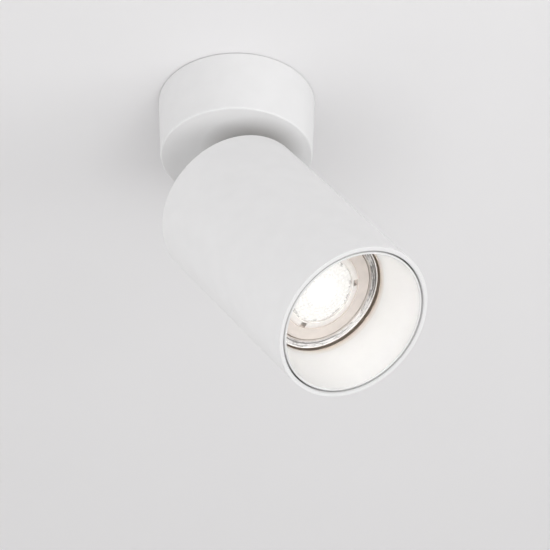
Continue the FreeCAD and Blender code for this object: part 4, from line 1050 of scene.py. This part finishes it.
class SPOTLIGHT_OT_studio_light(bpy.types.Operator):
    """Light the stage from all round, and with three large soft panels"""

    bl_idname = "spotlight.studio_light"
    bl_label = "Studio light"

    # Each panel's azimuth, counted from the front towards the right, and its elevation.
    panels = (("key", 102, -24), ("fill", 70, -25), ("low", 55, -60))
    air_colour = (1.0, 0.995, 1.0)

    def surround(self, studio, azimuth):
        """Even light all round, brighter towards the camera's left by the cosine squared."""
        world = bpy.data.worlds.new("studio")
        world.use_nodes = True
        nodes, links = world.node_tree.nodes, world.node_tree.links
        nodes["Background"].inputs["Color"].default_value = (*self.air_colour, 1)
        toward = nodes.new("ShaderNodeVectorMath")
        toward.operation = "DOT_PRODUCT"
        links.new(nodes.new("ShaderNodeTexCoord").outputs["Generated"], toward.inputs[0])
        toward.inputs[1].default_value = heading(azimuth - math.pi / 2, 0)
        last = toward.outputs["Value"]
        for operation, amount in (
                ("MAXIMUM", 0), ("POWER", 2), ("MULTIPLY", studio.left_wall), ("ADD", studio.sky)):
            step = nodes.new("ShaderNodeMath")
            step.operation = operation
            step.inputs[1].default_value = amount
            links.new(last, step.inputs[0])
            last = step.outputs[0]
        links.new(last, nodes["Background"].inputs["Strength"])
        return world

    def execute(self, context):
        studio, camera = context.scene.spotlight_studio, context.scene.spotlight_camera
        context.scene.world = self.surround(studio, camera.azimuth)
        for name, azimuth, elevation in self.panels:
            lamp = bpy.data.lights.new(f"{name}_light", "AREA")
            lamp.shape = "DISK"
            lamp.size = studio.panel
            lamp.energy = getattr(studio, f"{name}_power")
            holder = bpy.data.objects.new(lamp.name, lamp)
            out = heading(math.radians(azimuth), math.radians(elevation))
            holder.location = Vector((0, 0, camera.aim[2])) + out * studio.reach
            holder.rotation_mode = "QUATERNION"
            holder.rotation_quaternion = out.to_track_quat("Z", "Y")
            context.scene.collection.objects.link(holder)
        context.scene.view_settings.view_transform = "Standard"
        return {"FINISHED"}


class SPOTLIGHT_OT_camera(bpy.types.Operator):
    """Put the camera below the light, looking up at it"""

    bl_idname = "spotlight.camera"
    bl_label = "Camera"

    def execute(self, context):
        view = context.scene.spotlight_camera
        back = heading(view.azimuth, view.elevation)
        camera = bpy.data.objects.new("camera", bpy.data.cameras.new("camera"))
        camera.data.lens = view.lens
        camera.location = Vector(view.aim) + back * view.distance
        camera.rotation_mode = "QUATERNION"
        camera.rotation_quaternion = (
            (-back).to_track_quat("-Z", "Y") @ Quaternion((0, 0, 1), view.roll))
        context.scene.collection.objects.link(camera)
        context.scene.camera = camera
        return {"FINISHED"}


OPERATORS = (
    SPOTLIGHT_OT_camera, SPOTLIGHT_OT_stage, SPOTLIGHT_OT_studio_light, SPOTLIGHT_OT_shell,
    SPOTLIGHT_OT_baffle, SPOTLIGHT_OT_ceiling_hardware, SPOTLIGHT_OT_terminals,
    SPOTLIGHT_OT_leads, SPOTLIGHT_OT_swivel, SPOTLIGHT_OT_knuckle, SPOTLIGHT_OT_lampholder,
    SPOTLIGHT_OT_lamp_body, SPOTLIGHT_OT_lamp_glass, SPOTLIGHT_OT_lens,
)


class SPOTLIGHT_PT_panel(bpy.types.Panel):
    """Lists the settings and the pieces in the sidebar"""

    bl_idname = "SPOTLIGHT_PT_panel"
    bl_label = "Ceiling spotlight"
    bl_space_type = "VIEW_3D"
    bl_region_type = "UI"
    bl_category = "Spotlight"

    def draw(self, context):
        for attribute, group in SETTINGS.items():
            box = self.layout.box()
            box.label(text=group.__name__.replace("Settings", ""))
            for setting in group.__annotations__:
                box.prop(getattr(context.scene, attribute), setting)
        for operator in OPERATORS:
            self.layout.operator(operator.bl_idname)


CLASSES = (*SETTINGS.values(), *OPERATORS, SPOTLIGHT_PT_panel)


def register():
    """Adds the settings, the operators and the panel to Blender."""
    for each in CLASSES:
        bpy.utils.register_class(each)
    for attribute, group in SETTINGS.items():
        setattr(bpy.types.Scene, attribute, PointerProperty(type=group))


def unregister():
    """Takes them out again."""
    for attribute in SETTINGS:
        delattr(bpy.types.Scene, attribute)
    for each in reversed(CLASSES):
        bpy.utils.unregister_class(each)


def main():
    """Runs every operator in order."""
    register()
    for operator in OPERATORS:
        group, name = operator.bl_idname.split(".")
        getattr(getattr(bpy.ops, group), name)()
    bpy.context.view_layer.update()


if __name__ == "__main__":
    main()
